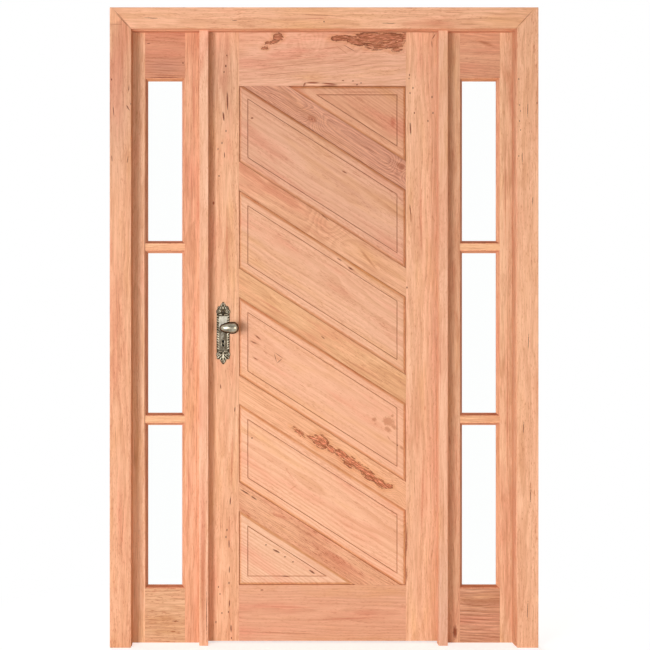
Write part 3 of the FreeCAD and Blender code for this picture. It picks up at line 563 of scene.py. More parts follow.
board(
    "sidelight_right_inner_stile", POST_GRAIN, SALMON,
    spot(455, 632, 6, 17, "rim", 0.6, 0.7), pale(461, 627, 455.5, 640, 0.8, 0.2),
    level=(0.84, 0.87, 0.86),
)
board(
    "sidelight_right_top_rail", RAIL_GRAIN, RUST,
    stain(476, 40, 498, 48, 6, 0.3, 0.9),
    level=(1.12, 1.3, 1.3), streaks=0.6, pith=(0.05, 0.04, 0.03),
)
board(
    "sidelight_right_bottom_rail", RAIL_GRAIN, RUST,
    stain(460, 604, 500, 607, 0.8, 0.5), stain(460, 610, 500, 614, 0.9, 0.5), red(460, 618, 500, 621, 1.0, 0.5),
    stain(462, 628, 496, 631, 0.9, 0.5),
    level=(1.02, 1.2, 1.22), rings=0.55, ring_width=0.009, pith=(0.05, 0.05, 0.05),
)
board("sidelight_right_bars", RAIL_GRAIN, ORANGE, level=(1.02, 1.1, 1.08))
board(
    "leaf_lock_stile", POST_GRAIN, SALMON,
    dull(222, 20, 222, 130, 50, 0.1, 0.9), spot(226.8, 55.5, 1.4, 2.4), spot(225.8, 66, 2.0, 3.4),
    spot(224, 72, 1.4, 2.6), slit(227.2, 91, 227.6, 111, 1.7, 0.35, 0.4), slit(223, 112, 224, 120.5, 2.0, 0.4, 0.4),
    spot(226, 131, 1.3, 3.0), spot(222, 143, 1.3, 3.0), spot(218, 149, 1.2, 2.6),
    slit(224.4, 152, 224.7, 158, 1.2, 0.6), spot(213.5, 203, 2.6, 4.2, "rim", 0.4, 0.6), spot(219, 176, 1.6, 2.2),
    slit(220.3, 384, 220.9, 389, 1.3, 0.5), slit(235, 407, 234.6, 412, 1.2, 0.5), spot(243, 367.5, 1.4, 2.0, "rim"),
    slit(230.5, 497, 230.2, 505, 1.5, 0.6), spot(227, 530, 1.4, 3.0), spot(226, 537, 1.4, 3.0),
    slit(229, 540, 229.2, 548, 1.4, 0.7), slit(229.5, 566, 229.3, 573, 1.4, 0.6), spot(229, 583, 1.5, 3.4),
    spot(218.5, 587, 1.3, 2.4), spot(220, 594, 1.3, 2.4), slit(229.6, 600, 229.4, 607, 1.5, 0.6),
    spot(222, 613, 1.3, 2.6), spot(228.5, 612, 1.4, 2.6), spot(216, 622, 1.3, 2.8),
    slit(231, 624, 231.2, 633, 1.6, 0.6), spot(231.5, 638, 1.4, 2.8), red(226, 200, 228, 300, 3.0, 0.5, 0.9),
    red(233, 420, 231, 500, 3.0, 0.5, 0.9),
    level=(1.02, 1.08, 1.08), pores=0.6, pith=(0.006, 0.06, -0.01),
)
board(
    "leaf_hinge_stile", POST_GRAIN, SALMON,
    spot(409.5, 75, 1.4, 2.4), spot(409, 78.5, 1.2, 2.0), spot(413, 88, 1.4, 2.6), spot(410, 93, 1.4, 2.4),
    spot(414.5, 113, 1.4, 2.4), slit(410, 122, 410.8, 135, 1.6, 0.4, 0.4), spot(432, 97, 1.3, 3.2),
    spot(433, 113, 1.3, 3.2), spot(428, 121, 1.3, 2.6), rim(436, 33, 431.5, 40, 1.1, 0.4),
    rim(431.5, 40, 432.2, 48, 1.0, 0.4), rim(409.6, 204, 411, 216, 1.5, 0.4),
    spot(410.8, 217, 3.4, 12, "stain", 0.4, 0.6), spot(410.8, 217, 2.4, 9, "stain", 0.4, 0.6),
    spot(407, 287.5, 1.5, 2.8), rim(437.5, 325, 436.8, 350, 1.2, 0.7), spot(425, 408, 2.0, 6, "red", 0.5),
    red(420, 150, 422, 280, 3.0, 0.5, 0.9), red(424, 430, 421, 560, 3.4, 0.5, 0.9),
    stain(414, 470, 415, 500, 1.0, 0.6), rim(407.2, 520, 406.2, 560, 2.0, 1.4, 0.8),
    rim(406.4, 566, 406.8, 584, 1.6, 1.2, 0.8),
    level=(1.04, 1.12, 1.16), pores=0.6, pith=(0.004, 0.07, 0.02),
)
board(
    "leaf_top_rail", RAIL_GRAIN, SALMON,
    rim(342, 44, 356, 52, 0.9, 0.4), stain(334, 44, 350, 56, 0.8, 0.4), red(318, 50, 342, 46, 1.2, 0.5),
    stain(245, 77, 320, 70, 1.0, 0.5), stain(320, 70, 400, 60, 1.0, 0.5), stain(250, 70, 330, 61, 1.0, 0.5),
    red(262, 61, 340, 55, 1.0, 0.5), rim(303.6, 85.8, 305.4, 82.8, 2.6, 0.1, 0.7),
    rim(304.6, 82.6, 321, 82.8, 2.4, 0.1, 0.7), rim(320, 82.8, 339, 84.8, 2.4, 0.1, 0.7),
    rim(318, 86.0, 340, 86.0, 2.4, 0.1, 0.7), pale(306, 84.8, 334, 85.4, 2.6, 0.1, 0.3),
    pale(307, 84.8, 318, 84.8, 2.2, 0.1, 0.3), pale(338, 84.6, 356, 85, 1.2, 0.5), spot(357, 84.6, 2.2, 1.6),
    spot(361, 83, 2.0, 1.4), spot(343, 80.6, 3.0, 1.6, "rim", 0.8), spot(353, 81, 2.6, 1.4, "rim", 0.8),
    level=(0.98, 1.02, 1.12), pith=(-0.09, 0.04, 0.05), rings=0.22, ring_width=0.01,
    knots=((310, 41, 11, 0.04), (374, 42, 20, 0.03), (276, 38, 9, 0.02)),
    bark=(
        blob(278, 37, 11, 9), blob(274, 42, 8, 4), blob(268, 43.5, 7, 4), blob(265, 48.5, 8, 4),
        blob(341, 38, 22, 7, -4), blob(356, 41, 22, 9, 14), blob(372, 38, 40, 13), blob(388, 38, 36, 12),
        blob(377, 46, 26, 9), blob(391, 43, 20, 11), blob(400, 42, 9, 15, 20), blob(397, 49, 12, 6, -20),
        blob(405, 36, 6, 12),
    ),
)
board(
    "leaf_bottom_rail", RAIL_GRAIN, ORANGE,
    spot(262, 590, 4.0, 1.6, "rim", 0.6), red(250, 606, 330, 608, 2.4, 0.6, 0.95),
    red(300, 620, 400, 617, 2.4, 0.6, 0.95), stain(245, 632, 330, 634, 1.4, 0.7),
    level=(0.9, 0.89, 0.97), streaks=0.42, pith=(0.01, 0.05, 0.0),
)
board(
    "slant_rail_1", SLANT_GRAIN, PINK,
    spot(312, 119, 13, 8, "stain", 0.2, 0.5, 30), spot(312.4, 119.4, 7, 4.4, "pale", 0.2, 0.5, 30),
    spot(312, 119, 2.6, 1.8, "rim", 0.4, 0.8, 30), spot(401, 166, 12, 8, "stain", 0.2, 0.5, 30),
    stain(256, 90, 285, 97, 1.2, 0.4, 0.9), stain(318, 128, 345, 142, 1.2, 0.5, 0.9),
    stain(350, 138, 388, 160, 1.4, 0.5, 0.9), stain(340, 148, 378, 172, 1.2, 0.5, 0.9),
    level=(1.1, 1.1, 1.08), rings=0.42, streaks=0.8, pith=(0.01, 0.03, 0.045), ring_width=0.0034,
    knots=((312, 119, 9, 0.02), (401, 168, 9, 0.02)),
)
board(
    "slant_rail_2", SLANT_GRAIN, SALMON,
    stain(358, 247, 377, 270, 3.6, 0.4, 0.7), stain(361, 250, 378, 272, 2.0, 0.4, 0.7),
    rim(318, 211, 330, 222, 1.0, 0.6), red(308, 203, 345, 228, 1.0, 0.6),
    level=(0.96, 0.98, 0.97), rings=0.3, knots=((330, 224, 16, 0.035),),
)
board(
    "slant_rail_3", SLANT_GRAIN, TAN,
    red(246, 270, 330, 323, 2.0, 0.6, 0.8), rim(321, 336, 325, 339, 1.2, 0.5), red(246, 290, 300, 325, 3.0, 0.7, 0.9),
    stain(330, 350, 400, 392, 3.0, 0.7, 0.9),
)
board(
    "slant_rail_4", SLANT_GRAIN, SALMON,
    red(330, 424, 338, 430, 1.8, 0.6), rim(345, 440, 358, 449, 1.0, 0.5),
    level=(1.04, 1.06, 1.02), rings=0.3, ring_width=0.0042, pith=(0.01, 0.03, 0.045),
    knots=((400, 492, 12, 0.02), (340, 455, 14, 0.012)), blush=0.3, bark_level=(1.25, 1.15, 1.22),
    bark=(
        blob(299, 432, 18, 4.4, 36), blob(312, 438, 13, 4, 20), blob(320.5, 441.5, 19, 14, 36),
        blob(331, 449, 13, 6, 40), blob(341, 454, 15, 8, 36), blob(350, 462, 17, 12, 36), blob(358, 466, 17, 8, 40),
        blob(368, 474, 22, 10, 40), blob(380, 483, 18, 8, 40), blob(388, 486, 10, 5, 10),
    ),
)
board(
    "slant_rail_5", SLANT_GRAIN, ORANGE,
    slit(240, 489, 250, 495, 1.6, 0.5), slit(251, 496, 257, 500, 1.6, 0.5),
    spot(298, 527, 10, 4, "stain", 1.4, 0.8, 30), spot(315, 532, 8, 3, "stain", 1.4, 0.8, 30),
    red(268, 512, 290, 520, 5.0, 1.4, 0.9), stain(262, 505, 350, 560, 3.0, 0.9, 0.9),
    level=(0.92, 0.91, 0.93), rings=0.35, ring_width=0.0038, pith=(0.02, 0.03, 0.045), pores=1.0, streaks=1.1,
    knots=((300, 528, 16, 0.015), (352, 562, 14, 0.012)),
)
board(
    "raised_panel_1", SLANT_GRAIN, SALMON,
    spot(393, 122, 8, 15, "red", 0.5, 0.8), stain(340, 100, 396, 135, 4.0, 0.6, 0.9),
    stain(330, 92, 398, 92, 2.0, 0.6, 0.9),
    level=(0.91, 0.89, 0.91), rings=0.3,
)
board(
    "raised_panel_2", SLANT_GRAIN, SALMON,
    rim(342, 170.6, 347, 173.4, 1.8, 0.5), spot(252, 118, 3.6, 2.2, "rim", 0.6, 0.6),
    level=(0.95, 1.0, 1.1),
)
board(
    "raised_panel_3", SLANT_GRAIN, SALMON,
    rim(337, 258, 342, 261, 1.8, 0.4, 0.8), stain(345, 264, 358, 274, 3.0, 0.5, 0.9),
    slit(348, 267, 353, 270, 2.0, 0.4, 0.8), red(255, 259, 258, 262, 1.2),
    level=(1.02, 1.1, 1.18),
)
board(
    "raised_panel_4", SLANT_GRAIN, PALE,
    stain(253, 333, 262, 341, 3.0, 0.4, 0.9), rim(255, 335, 261, 340, 1.8, 0.4, 0.9),
    stain(249, 340, 259, 345, 2.6, 0.4, 0.9), rim(250, 341, 257, 344, 1.4, 0.4, 0.9),
    stain(252, 356, 258, 361, 2.4, 0.4, 0.9), rim(253, 357, 258, 360, 1.2, 0.4, 0.9),
    rim(274, 352, 284, 359, 1.0, 0.3, 0.8), rim(276, 364, 283, 358, 1.0, 0.3, 0.8),
    rim(274, 353, 277, 363, 1.0, 0.3, 0.8), spot(374.4, 419.4, 6.4, 5.4, "stain", 0.8, 0.6),
    spot(388.6, 421.6, 15, 11, "stain", 1.5, 0.5, 25), spot(394, 427, 10, 5, "stain", 1.4, 0.6, 40),
    spot(392.5, 415.8, 3.6, 3.6, "stain", 0.8, 0.6), spot(388, 429.2, 10, 5.4, "stain", 1.2, 0.6, 35),
    stain(386.8, 435.4, 391, 441, 2.0, 0.6, 0.9), stain(390, 440, 397.6, 445.4, 2.0, 0.6, 0.9),
    spot(397.6, 445.3, 2.0, 2.2, "rim", 0.4, 0.8), stain(400, 446, 403.6, 449.6, 3.6, 0.6, 0.8),
)
board(
    "raised_panel_5", SLANT_GRAIN, PALE,
    spot(252, 438, 2.0, 2.0, "rim"), red(283, 465, 297, 484, 1.0, 0.4), red(297, 485, 290, 490, 1.0, 0.4),
    level=(1.03, 1.06, 1.06), rings=0.45,
)
board(
    "raised_panel_6", SLANT_GRAIN, PALE,
    spot(266, 545, 2.4, 1.6, "rim"), slit(273, 549.5, 280, 553, 2.2, 0.6), spot(285, 557, 2.6, 1.6, "rim"),
    spot(293, 562, 2.6, 1.6, "rim"), slit(309, 570, 315, 574, 2.2, 0.6), rim(280, 576, 291, 577, 0.9, 0.5),
    level=(0.99, 1.09, 1.12), rings=0.45,
)

# Painted shade makes the slopes of the beads dusky, most of all on the left and at the bottom of a pane
BEAD_SIDES = (("X", 1, linear(206, 184, 174)), ("X", -1, linear(244, 232, 226)))
BEAD_ENDS = (("Z", 1, linear(200, 165, 148)), ("Z", -1, linear(236, 218, 208)))
UPRIGHT_SEED = 300
LEVEL_SEED = 301
for side, face in itertools.product(("left", "right"), ("front", "back")):
    node = f"sidelight_{side}_{face}_beads"
    piece = nodes[node]
    upright = wood(f"wood_{node}_upright", POST_GRAIN, middle_of(node), UPRIGHT_SEED, SALMON, edges=BEAD_SIDES)
    level = wood(f"wood_{node}_level", RAIL_GRAIN, middle_of(node), LEVEL_SEED, SALMON, edges=BEAD_ENDS)
    dress(piece, upright)
    piece.data.materials.append(level)
    for polygon in piece.data.polygons:
        polygon.material_index = int(abs(polygon.normal.z) > abs(polygon.normal.x))


# Glass


def pane_glass():
    material, g = new_material("clear_pane")
    glass = g.principled(
        Base_Color=(0.985, 0.995, 0.99, 1),
        Roughness=0.0,
        IOR=1.45,
        Transmission_Weight=1.0,
        Normal=g.bump(0.03, 0.001, g.noise(g.own(), (3, 3, 3), 1)),
    )
    clear = g.node("BsdfTransparent", {"Color": (0.95, 0.97, 0.96, 1)})["BSDF"]
    g.show(g.either(g.node("LightPath")["Is Shadow Ray"], glass, clear))
    return material


GLASS = pane_glass()
for side in ("left", "right"):
    dress(nodes[f"sidelight_{side}_glass"], GLASS)


# Brass; the plates and handles are measured in millimetres

HANDLE_X = 344.7
HANDLE_Z = 1080
PLATE_Z = 1060
PLATE_FRONT_Y = 35.5
PLATE_BACK_Y = 75.5
LOCK_Y = 55.5
LOCK_EDGE_X = 287.2
# Half the width and height of the plate's smooth field
FIELD_HALF = (0.014, 0.058)
EDGE_BLUR = 0.0005
# How round the edges of the plates are
METAL_EDGE = 0.0005


def brass(name, bright, dark, roughness, painted_turn_shade, panel=None):
    """Cast metal; its turned-away faces are painted darker by the given share, a painted shade; panel a smooth bright
    field on a plate.
    """
    material, g = new_material(name)
    place = g.own()
    patches = g.noise(place, (60, 60, 60), 3, 0.6)
    speck = g.noise(place, (500, 500, 500))
    color = g.mix(g.step(patches, 0.35, 0.7), bright, dark)
    color = g.tint(g.times(g.step(speck, 0.5, 0.75), 0.4), color, linear(120, 110, 90))
    if panel:
        away = g.vector("ABSOLUTE", g.vector("SUBTRACT", place, (HANDLE_X / 1000, 0, PLATE_Z / 1000)))
        inside = 1.0
        for axis, half in zip("XZ", FIELD_HALF):
            inside = g.times(g.step(g.axis(away, axis), half + EDGE_BLUR, half - EDGE_BLUR), inside)
        patina = g.noise(place, (110, 40, 70), 3, 0.6)
        low = g.step(g.axis(place, "Z"), 1.09, 1.06)
        color = g.mix(inside, color, g.mix(g.step(g.times(low, 0.45, patina), 0.4, 1.0), *panel))
    # painted shade: faces turned away from the front are darkened
    turned_away = g.step(g.math("ABSOLUTE", g.axis(g.own("Normal"), "Y")), 0.8, 0.3)
    metal = g.principled(
        Base_Color=g.tint(g.times(turned_away, painted_turn_shade), color, linear(58, 52, 44)),
        Metallic=1.0,
        Specular_Tint=(0.3, 0.28, 0.24, 1),
        Roughness=g.times(patches, 0.25, roughness),
        Normal=g.bump(0.2, 0.0003, speck),
    )
    g.show(metal)
    return material


FIELD = (linear(190, 182, 166), linear(84, 73, 58))
AGED = brass("aged_brass", linear(176, 168, 148), linear(96, 88, 75), 0.15, 1.0)
GROUND = brass("aged_brass_ground", linear(76, 66, 50), linear(42, 36, 28), 0.35, 0.6, FIELD)
WORN = brass("aged_brass_relief", linear(212, 202, 178), linear(124, 110, 88), 0.18, 0.9)
SATIN = brass("satin_brass", linear(205, 180, 120), linear(160, 136, 84), 0.25, 0.3)
METAL_NODES = {
    "long_plate_front": (GROUND, "aged_brass"),
    "long_plate_back": (GROUND, "aged_brass"),
    "handle_front": (AGED, "aged_brass"),
    "handle_back": (AGED, "aged_brass"),
    "lock_faceplate": (SATIN, "lock_brass"),
    "strike_plate": (SATIN, "lock_brass"),
    "handle_spindle": (SATIN, "lock_brass"),
    "hinge_frame_plates": (SATIN, "hinge_brass"),
    "hinge_leaf_plates": (SATIN, "hinge_brass"),
}
for node, (metal, slot) in METAL_NODES.items():
    dress(nodes[node], metal)
for node in ("long_plate_front", "long_plate_back", "lock_faceplate", "strike_plate"):
    ease_edges(nodes[node], METAL_EDGE)


# Cast and turned details

# How far beads and domes reach into the plate, and the middle of the keyhole's round part from the plate's middle
SUNK = 0.1
KEYHOLE_Z = -28.5


class Shell:
    """Points and faces of one piece, in millimetres: across, out of the face, and up."""

    def __init__(self):
        self.points = []
        self.faces = []

    def grid(self, rows, closed_rows=False, closed_columns=False):
        """Joins rows of points, all of one length, into quads."""
        start = len(self.points)
        width = len(rows[0])
        for row in rows:
            self.points += row
        for i in range(len(rows) if closed_rows else len(rows) - 1):
            this, following = start + i * width, start + (i + 1) % len(rows) * width
            for j in range(width if closed_columns else width - 1):
                k = (j + 1) % width
                self.faces.append((this + j, this + k, following + k, following + j))

    def bead(self, path, widths, height, closed=False, sides=8):
        """A half-round bead along a flat path of (across, up), with its width at each point."""
        rows = []
        count = len(path)
        for i, (x, z) in enumerate(path):
            before = path[(i - 1) % count] if closed or i else path[i]
            after = path[(i + 1) % count] if closed or i < count - 1 else path[i]
            run = Vector((after[0] - before[0], after[1] - before[1])).normalized()
            side = Vector((-run.y, run.x))
            row = []
            for j in range(sides + 1):
                angle = math.pi * j / sides
                reach = side * (widths[i] / 2 * math.cos(angle))
                rise = height * math.sin(angle) * min(1.0, widths[i] / max(widths)) - SUNK
                row.append((x + reach.x, rise, z + reach.y))
            rows.append(row)
        self.grid(rows, closed_rows=closed)

    def dome(self, x, z, wide, tall, height, rings=5, sides=20):
        """A low round or oval dome."""
        rows = []
        for i in range(rings + 1):
            angle = math.pi / 2 * i / rings
            turns = [2 * math.pi * j / sides for j in range(sides)]
            u, v = wide / 2 * math.cos(angle), tall / 2 * math.cos(angle)
            rows.append([(x + u * math.cos(t), height * math.sin(angle) - SUNK, z + v * math.sin(t)) for t in turns])
        self.grid(rows, closed_columns=True)

    def build(self, name, place, material, body, slot):
        """Makes the piece; place turns a point of the shell into one of the part."""
        mesh = bpy.data.meshes.new(name)
        mesh.from_pydata([place(*point) for point in self.points], [], self.faces)
        mesh.materials.append(material)
        mesh.polygons.foreach_set("use_smooth", [True] * len(mesh.polygons))
        mesh.validate()
        piece = bpy.data.objects.new(name, mesh)
        scene.collection.objects.link(piece)
        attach(piece, body)


def taper(count, wide, tip=0.25):
    """Widths that swell in the middle and run out at both ends."""
    swell = [max(0.0, math.sin(math.pi * i / (count - 1))) ** 0.7 for i in range(count)]
    return [wide * (tip + (1 - tip) * share) for share in swell]


def curve(points, steps=6):
    """A smooth path through the points."""
    path = []
    for i in range(len(points) - 1):
        ends = points[max(i - 1, 0)], points[i], points[i + 1], points[min(i + 2, len(points) - 1)]
        for k in range(steps):
            t = k / steps
            point = []
            for a, b, c, d in zip(*ends):
                bend, twist = 2 * a - 5 * b + 4 * c - d, 3 * b - a - 3 * c + d
                point.append(0.5 * (2 * b + (c - a) * t + bend * t**2 + twist * t**3))
            path.append(tuple(point))
    path.append(points[-1])
    return path


def scroll(x, z, start, turns, radius, steps=26):
    """A path that winds inwards."""
    path = []
    for i in range(steps + 1):
        share = i / steps
        angle = start + 2 * math.pi * turns * share
        reach = radius * (1 - 0.86 * share)
        path.append((x + reach * math.cos(angle), z + reach * math.sin(angle)))
    return path


def plate_relief():
    """The cast ornament of a long plate, measured from the middle of the plate."""
    shell = Shell()

    def strand(points, wide, height):
        path = curve(points)
        shell.bead(path, taper(len(path), wide), height)

    # a plain bead round the field, and roped borders outside it
    corners = [(-14.4, -58), (-14.4, 58), (14.4, 58), (14.4, -58)]
    border = []
    for (x0, z0), (x1, z1) in zip(corners, corners[1:] + corners[:1]):
        steps = 12 if x0 == x1 else 5
        border += [(x0 + (x1 - x0) * k / steps, z0 + (z1 - z0) * k / steps) for k in range(steps)]
    shell.bead(border, [1.8] * len(border), 1.0, closed=True, sides=6)
    for side in (-1, 1):
        for i in range(14):
            z = 8.4 * (i + 0.5) - 56
            path = [(side * (18.6 + u), z + 0.62 * u) for u in (-3.6, -2.4, -1.2, 0, 1.2, 2.4, 3.2)]
            shell.bead(path, taper(7, 5.0, 0.35), 2.4)
        for way in (-1, 1):
            # the scroll of a corner, with its eye and its stalk, and a short leaf that leads to it
            path = scroll(side * 14, way * 73.5, -way * math.pi / 2, side * way * 1.35, 8.2)
            shell.bead(path, taper(len(path), 3.4, 0.5), 2.0)
            shell.dome(side * 14, way * 73.5, 4.2, 4.2, 2.2)
            strand([(side * 3.5, way * 60.5), (side * 6.5, way * 63.5), (side * 13, way * 64.3)], 3.6, 1.6)
            strand([(side * 3, way * 61.5), (side * 9, way * 63.5), (side * 17, way * 61.5)], 2.6, 1.3)
        # crown lobes and the petals between them
        path = scroll(side * 11.5, 85, 0 if side > 0 else math.pi, side * 1.1, 6.2)
        shell.bead(path, taper(len(path), 2.8, 0.5), 1.8)
        strand([(side * 2.2, 88), (side * 5.2, 94), (side * 4.4, 99), (side * 1.2, 103)], 3.4, 1.6)
        # foot wings and their leaves
        strand([(side * 4, -72), (side * 10, -78), (side * 15.5, -81), (side * 19.6, -86.5)], 4.4, 1.8)
        strand([(side * 3.4, -80), (side * 8.4, -86), (side * 11, -92.5)], 4.0, 1.6)
        strand([(side * 2.2, -90), (side * 4.8, -95), (side * 3.4, -101)], 3.0, 1.4)
    shell.dome(0, 86.4, 8.4, 12.0, 3.0, sides=4, rings=2)
    shell.dome(0, 97.5, 3.4, 9.0, 2.2)
    shell.bead([(0, -61 - 4.1 * i) for i in range(11)], taper(11, 4.6, 0.4), 2.4)
    for z in (-66, -84, -99):
        shell.dome(0, z, 5.4, 5.4, 2.8)
    # rims of the handle's hole and of the keyhole, and the keyhole's slanting bar
    ring = [(10.2 * math.cos(math.pi * k / 16), 20 + 10.2 * math.sin(math.pi * k / 16)) for k in range(32)]
    shell.bead(ring, [2.6] * 32, 1.5, closed=True, sides=6)
    edge = keyhole_arc(5.9, -38, 218, 18) + [(-5.0, -38), (-5.0, -45.4), (0, -47.2), (5.0, -45.4), (5.0, -38)]
    shell.bead(edge, [1.9] * len(edge), 1.2, closed=True, sides=6)
    bar = [(-5.2, -32.2), (-2.6, -33.8), (0, -35.4), (2.6, -37.0), (5.2, -38.6)]
    shell.bead(bar, [3.0] * 5, 1.4, sides=6)
    return shell


def keyhole_arc(radius, first, last, steps):
    """The round part of the keyhole's outline, between two angles in degrees."""
    angles = [math.radians(first + (last - first) * k / steps) for k in range(steps + 1)]
    return [(radius * math.cos(a), KEYHOLE_Z + radius * math.sin(a)) for a in angles]


def keyhole_shade():
    """A sheet of painted shade: dark walls and floor of the keyhole, and the dark hollow under the crown."""
    shell = Shell()
    outline = keyhole_arc(4.55, -34, 214, 20) + [(-3.75, -36), (-3.75, -45.4), (3.75, -45.4), (3.75, -36)]
    rows = [[(x, height, z) for x, z in outline] for height in (-2.4, -11.2)]
    rows.append([(0.0, -11.2, -36.0)] * len(outline))
    shell.grid(rows, closed_columns=True)
    shell.dome(0, 73.6, 5.4, 5.4, 1.0)
    return shell


def crown_ground():
    """The ground between the scrolls of the crown."""
    shell = Shell()
    shell.dome(0, 81, 9.4, 16, 0.5)
    return shell


def painted_shade_black():
    # the dark colour of the painted shade in the keyhole and under the crown
    material, g = new_material("keyhole_black")
    shade_speckle = g.noise(g.own(), (300, 300, 300), 3)
    color = g.mix(shade_speckle, linear(22, 17, 14), linear(46, 36, 28))
    g.show(g.principled(Base_Color=color, Roughness=g.times(shade_speckle, 0.2, 0.6)))
    return material


def as_measured(x, y, z):
    return x / 1000, y / 1000, z / 1000


def on_front(x, height, z, middle=PLATE_Z):
    return as_measured(HANDLE_X + x, PLATE_FRONT_Y - height, middle + z)


def on_back(x, height, z, middle=PLATE_Z):
    return as_measured(HANDLE_X - x, PLATE_BACK_Y + height, middle + z)


relief = plate_relief()
shade_shell = keyhole_shade()
ground = crown_ground()
BLACK = painted_shade_black()
for face, place in (("front", on_front), ("back", on_back)):
    relief.build(f"plate_relief_{face}", place, WORN, "leaf", "aged_brass")
    shade_shell.build(f"keyhole_shade_{face}", place, BLACK, "leaf", "aged_brass")
    ground.build(f"crown_ground_{face}", place, GROUND, "leaf", "aged_brass")


def turned(profile, sides=36):
    """A turned shape: profile of (radius, height) round the middle."""
    shell = Shell()
    angles = [2 * math.pi * j / sides for j in range(sides)]
    rows = [[(r * math.cos(a), height, r * math.sin(a)) for a in angles] for r, height in profile]
    shell.grid(rows, closed_columns=True)
    return shell


NECK = [(7.05, 0.2), (9.2, 0.3), (9.6, 1.2), (9.2, 2.2), (7.8, 2.9), (8.5, 3.6), (8.7, 4.3), (8.2, 5.0), (7.05, 5.6)]
neck = turned(NECK)
neck.build("neck_rings_front", lambda *p: on_front(*p, HANDLE_Z), AGED, "handle", "aged_brass")
neck.build("neck_rings_back", lambda *p: on_back(*p, HANDLE_Z), AGED, "handle", "aged_brass")

SCREW_RADIUS = 3.6
SLOT_HALF = 0.55
SLOT_REACH = 3.3


def screw_heads(name, heads, normal, body, slot, rings=9, sides=40):
    """Slotted heads on faces that look along X; each head has its own slot angle."""
    shell = Shell()
    for x, y, z in heads:
        angle = random.uniform(0, math.pi)
        rows = []
        for i in range(rings + 1):
            radius = SCREW_RADIUS * (1 - i / rings) + 0.01
            row = []
            for j in range(sides):
                around = 2 * math.pi * j / sides
                u, v = radius * math.cos(around), radius * math.sin(around)
                off_slot = abs(u * math.sin(angle) - v * math.cos(angle))
                height = 0.45 * (1 - (radius / SCREW_RADIUS) ** 2) + 0.05
                if off_slot < SLOT_HALF and radius < SLOT_REACH:
                    height = 0.04
                row.append((x + normal * height, y + u, z + v))
            rows.append(row)
        shell.grid(rows, closed_columns=True)
    shell.build(name, as_measured, SATIN, body, slot)


HINGE_LEVELS = (186.0, 1050.9, 1915.8)
HINGE_SCREWS = ((52, -32), (60, -12), (52, 12), (60, 32))
LEAF_PLATE_X = 1085.3
FRAME_PLATE_X = 1086.5
STRIKE_X = 281
for name, x, normal, body in (("leaf", LEAF_PLATE_X, 1, "leaf"), ("frame", FRAME_PLATE_X, -1, "frame")):
    heads = [(x, y, level + z) for level in HINGE_LEVELS for y, z in HINGE_SCREWS]
    screw_heads(f"hinge_screws_{name}", heads, normal, body, "hinge_brass")
screw_heads("faceplate_screws", [(LOCK_EDGE_X, LOCK_Y, z) for z in (970, 1150)], -1, "leaf", "lock_brass")
screw_heads("strike_screws", [(STRIKE_X, LOCK_Y, z) for z in (1007, 1113)], 1, "frame", "lock_brass")


def bolt_ends():
    """The latch's slanting tongue and the square bolt, both drawn back to the faceplate."""
    shell = Shell()
    for middle, tall, slant in ((1080, 20, 0.9), (1031.5, 24, 0.0)):
        half = tall / 2
        rows = []
        for z, inset in ((-half, 0.0), (0.5 - half, 1.0), (half - 0.5, 1.0), (half, 0.0)):
            section = ((-5.5, 0.0), (-5.0, 0.9 - slant), (0.0, 0.9 - slant / 2), (5.0, 0.9), (5.5, 0.0))
            rows.append([(LOCK_EDGE_X - inset * rise, LOCK_Y + y, middle + z) for y, rise in section])
        shell.grid(rows)
    shell.build("bolt_ends", as_measured, AGED, "leaf", "lock_brass")


bolt_ends()


# Floor, light and camera

DOOR_MIDDLE = (0.685, 0.04, 0)
FLOOR_HALF = 30.0


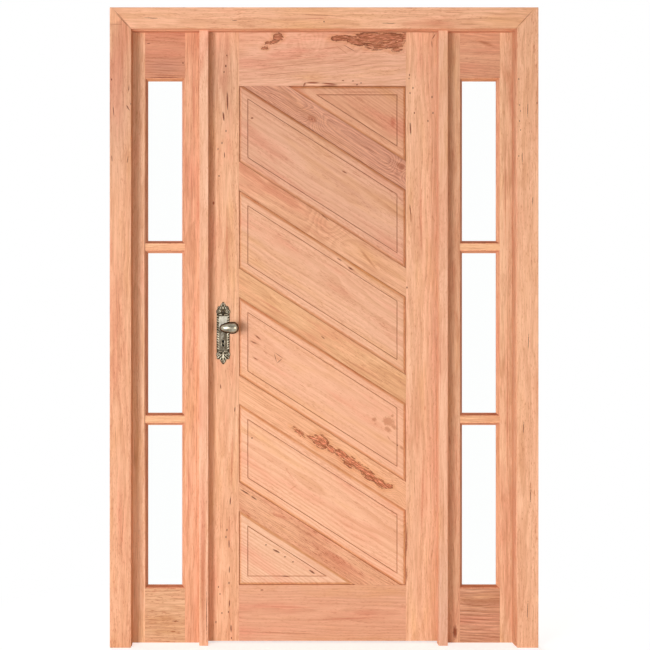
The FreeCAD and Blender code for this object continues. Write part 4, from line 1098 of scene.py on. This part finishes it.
def build_floor():
    mesh = bpy.data.meshes.new("floor")
    corners = [(x * FLOOR_HALF, y * FLOOR_HALF, 0) for x, y in ((-1, -1), (1, -1), (1, 1), (-1, 1))]
    mesh.from_pydata(corners, [], [(0, 1, 2, 3)])
    floor = bpy.data.objects.new("floor", mesh)
    scene.collection.objects.link(floor)
    material, g = new_material("pale_floor")
    plain = g.node("BsdfDiffuse", {"Color": (0.8, 0.8, 0.8, 1)})["BSDF"]
    glow = g.node("Emission", {"Color": (1, 1, 1, 1), "Strength": 0.6})["Emission"]
    near = g.node("AddShader", {0: plain, 1: glow})["Shader"]
    far = g.node("Emission", {"Color": (1, 1, 1, 1), "Strength": 1.0})["Emission"]
    # away from the door the floor runs into the white of the backdrop
    place = g.vector("SUBTRACT", g.own(), DOOR_MIDDLE)
    distance = g.vector("LENGTH", g.vector("MULTIPLY", place, (0.7, 1, 0)))
    g.show(g.either(g.seen(), plain, g.either(g.step(distance, 0.35, 1.0), near, far)))
    mesh.materials.append(material)


def build_world(strength):
    world = bpy.data.worlds.new("studio")
    scene.world = world
    world.use_nodes = True
    g = Graph(world.node_tree)
    light = g.node("Background", {"Color": (1, 0.93, 0.84, 1), "Strength": strength})["Background"]
    white = g.node("Background", {"Color": (1, 1, 1, 1), "Strength": 1.0})["Background"]
    g.show(g.either(g.seen(), light, white), "OutputWorld")


def area_light(name, place, target, size, power, color=(1, 1, 1)):
    data = bpy.data.lights.new(name, "AREA")
    data.shape = "RECTANGLE"
    data.size, data.size_y = size
    data.energy = power
    data.color = color
    light = bpy.data.objects.new(name, data)
    light.location = place
    light.rotation_euler = (Vector(target) - Vector(place)).to_track_quat("-Z", "Y").to_euler()
    # the lamp behind the door isn't seen through the panes
    light.visible_camera = False
    light.visible_transmission = False
    scene.collection.objects.link(light)


def build_camera():
    data = bpy.data.cameras.new("camera")
    data.sensor_width = SENSOR
    data.lens = LENS
    data.shift_x = SHIFT_X
    data.shift_y = SHIFT_Y
    camera = bpy.data.objects.new("camera", data)
    camera.location = EYE
    camera.rotation_euler = Euler((math.pi / 2, 0, 0))
    scene.collection.objects.link(camera)
    scene.camera = camera


build_floor()
build_world(0.24)
area_light("key", (-2.7, -5.3, 0.9), (0.68, 0, 0.9), (2.0, 2.4), 306, (0.92, 0.955, 1.0))
area_light("fill", (4.0, -4.2, 0.8), (0.9, 0, 0.9), (2.4, 2.2), 68, (1.0, 0.93, 0.83))
area_light("back", (-1.0, 5.0, 2.4), (0.68, 0, 1.0), (3.0, 2.5), 200)
build_camera()
scene.view_settings.view_transform = "Standard"
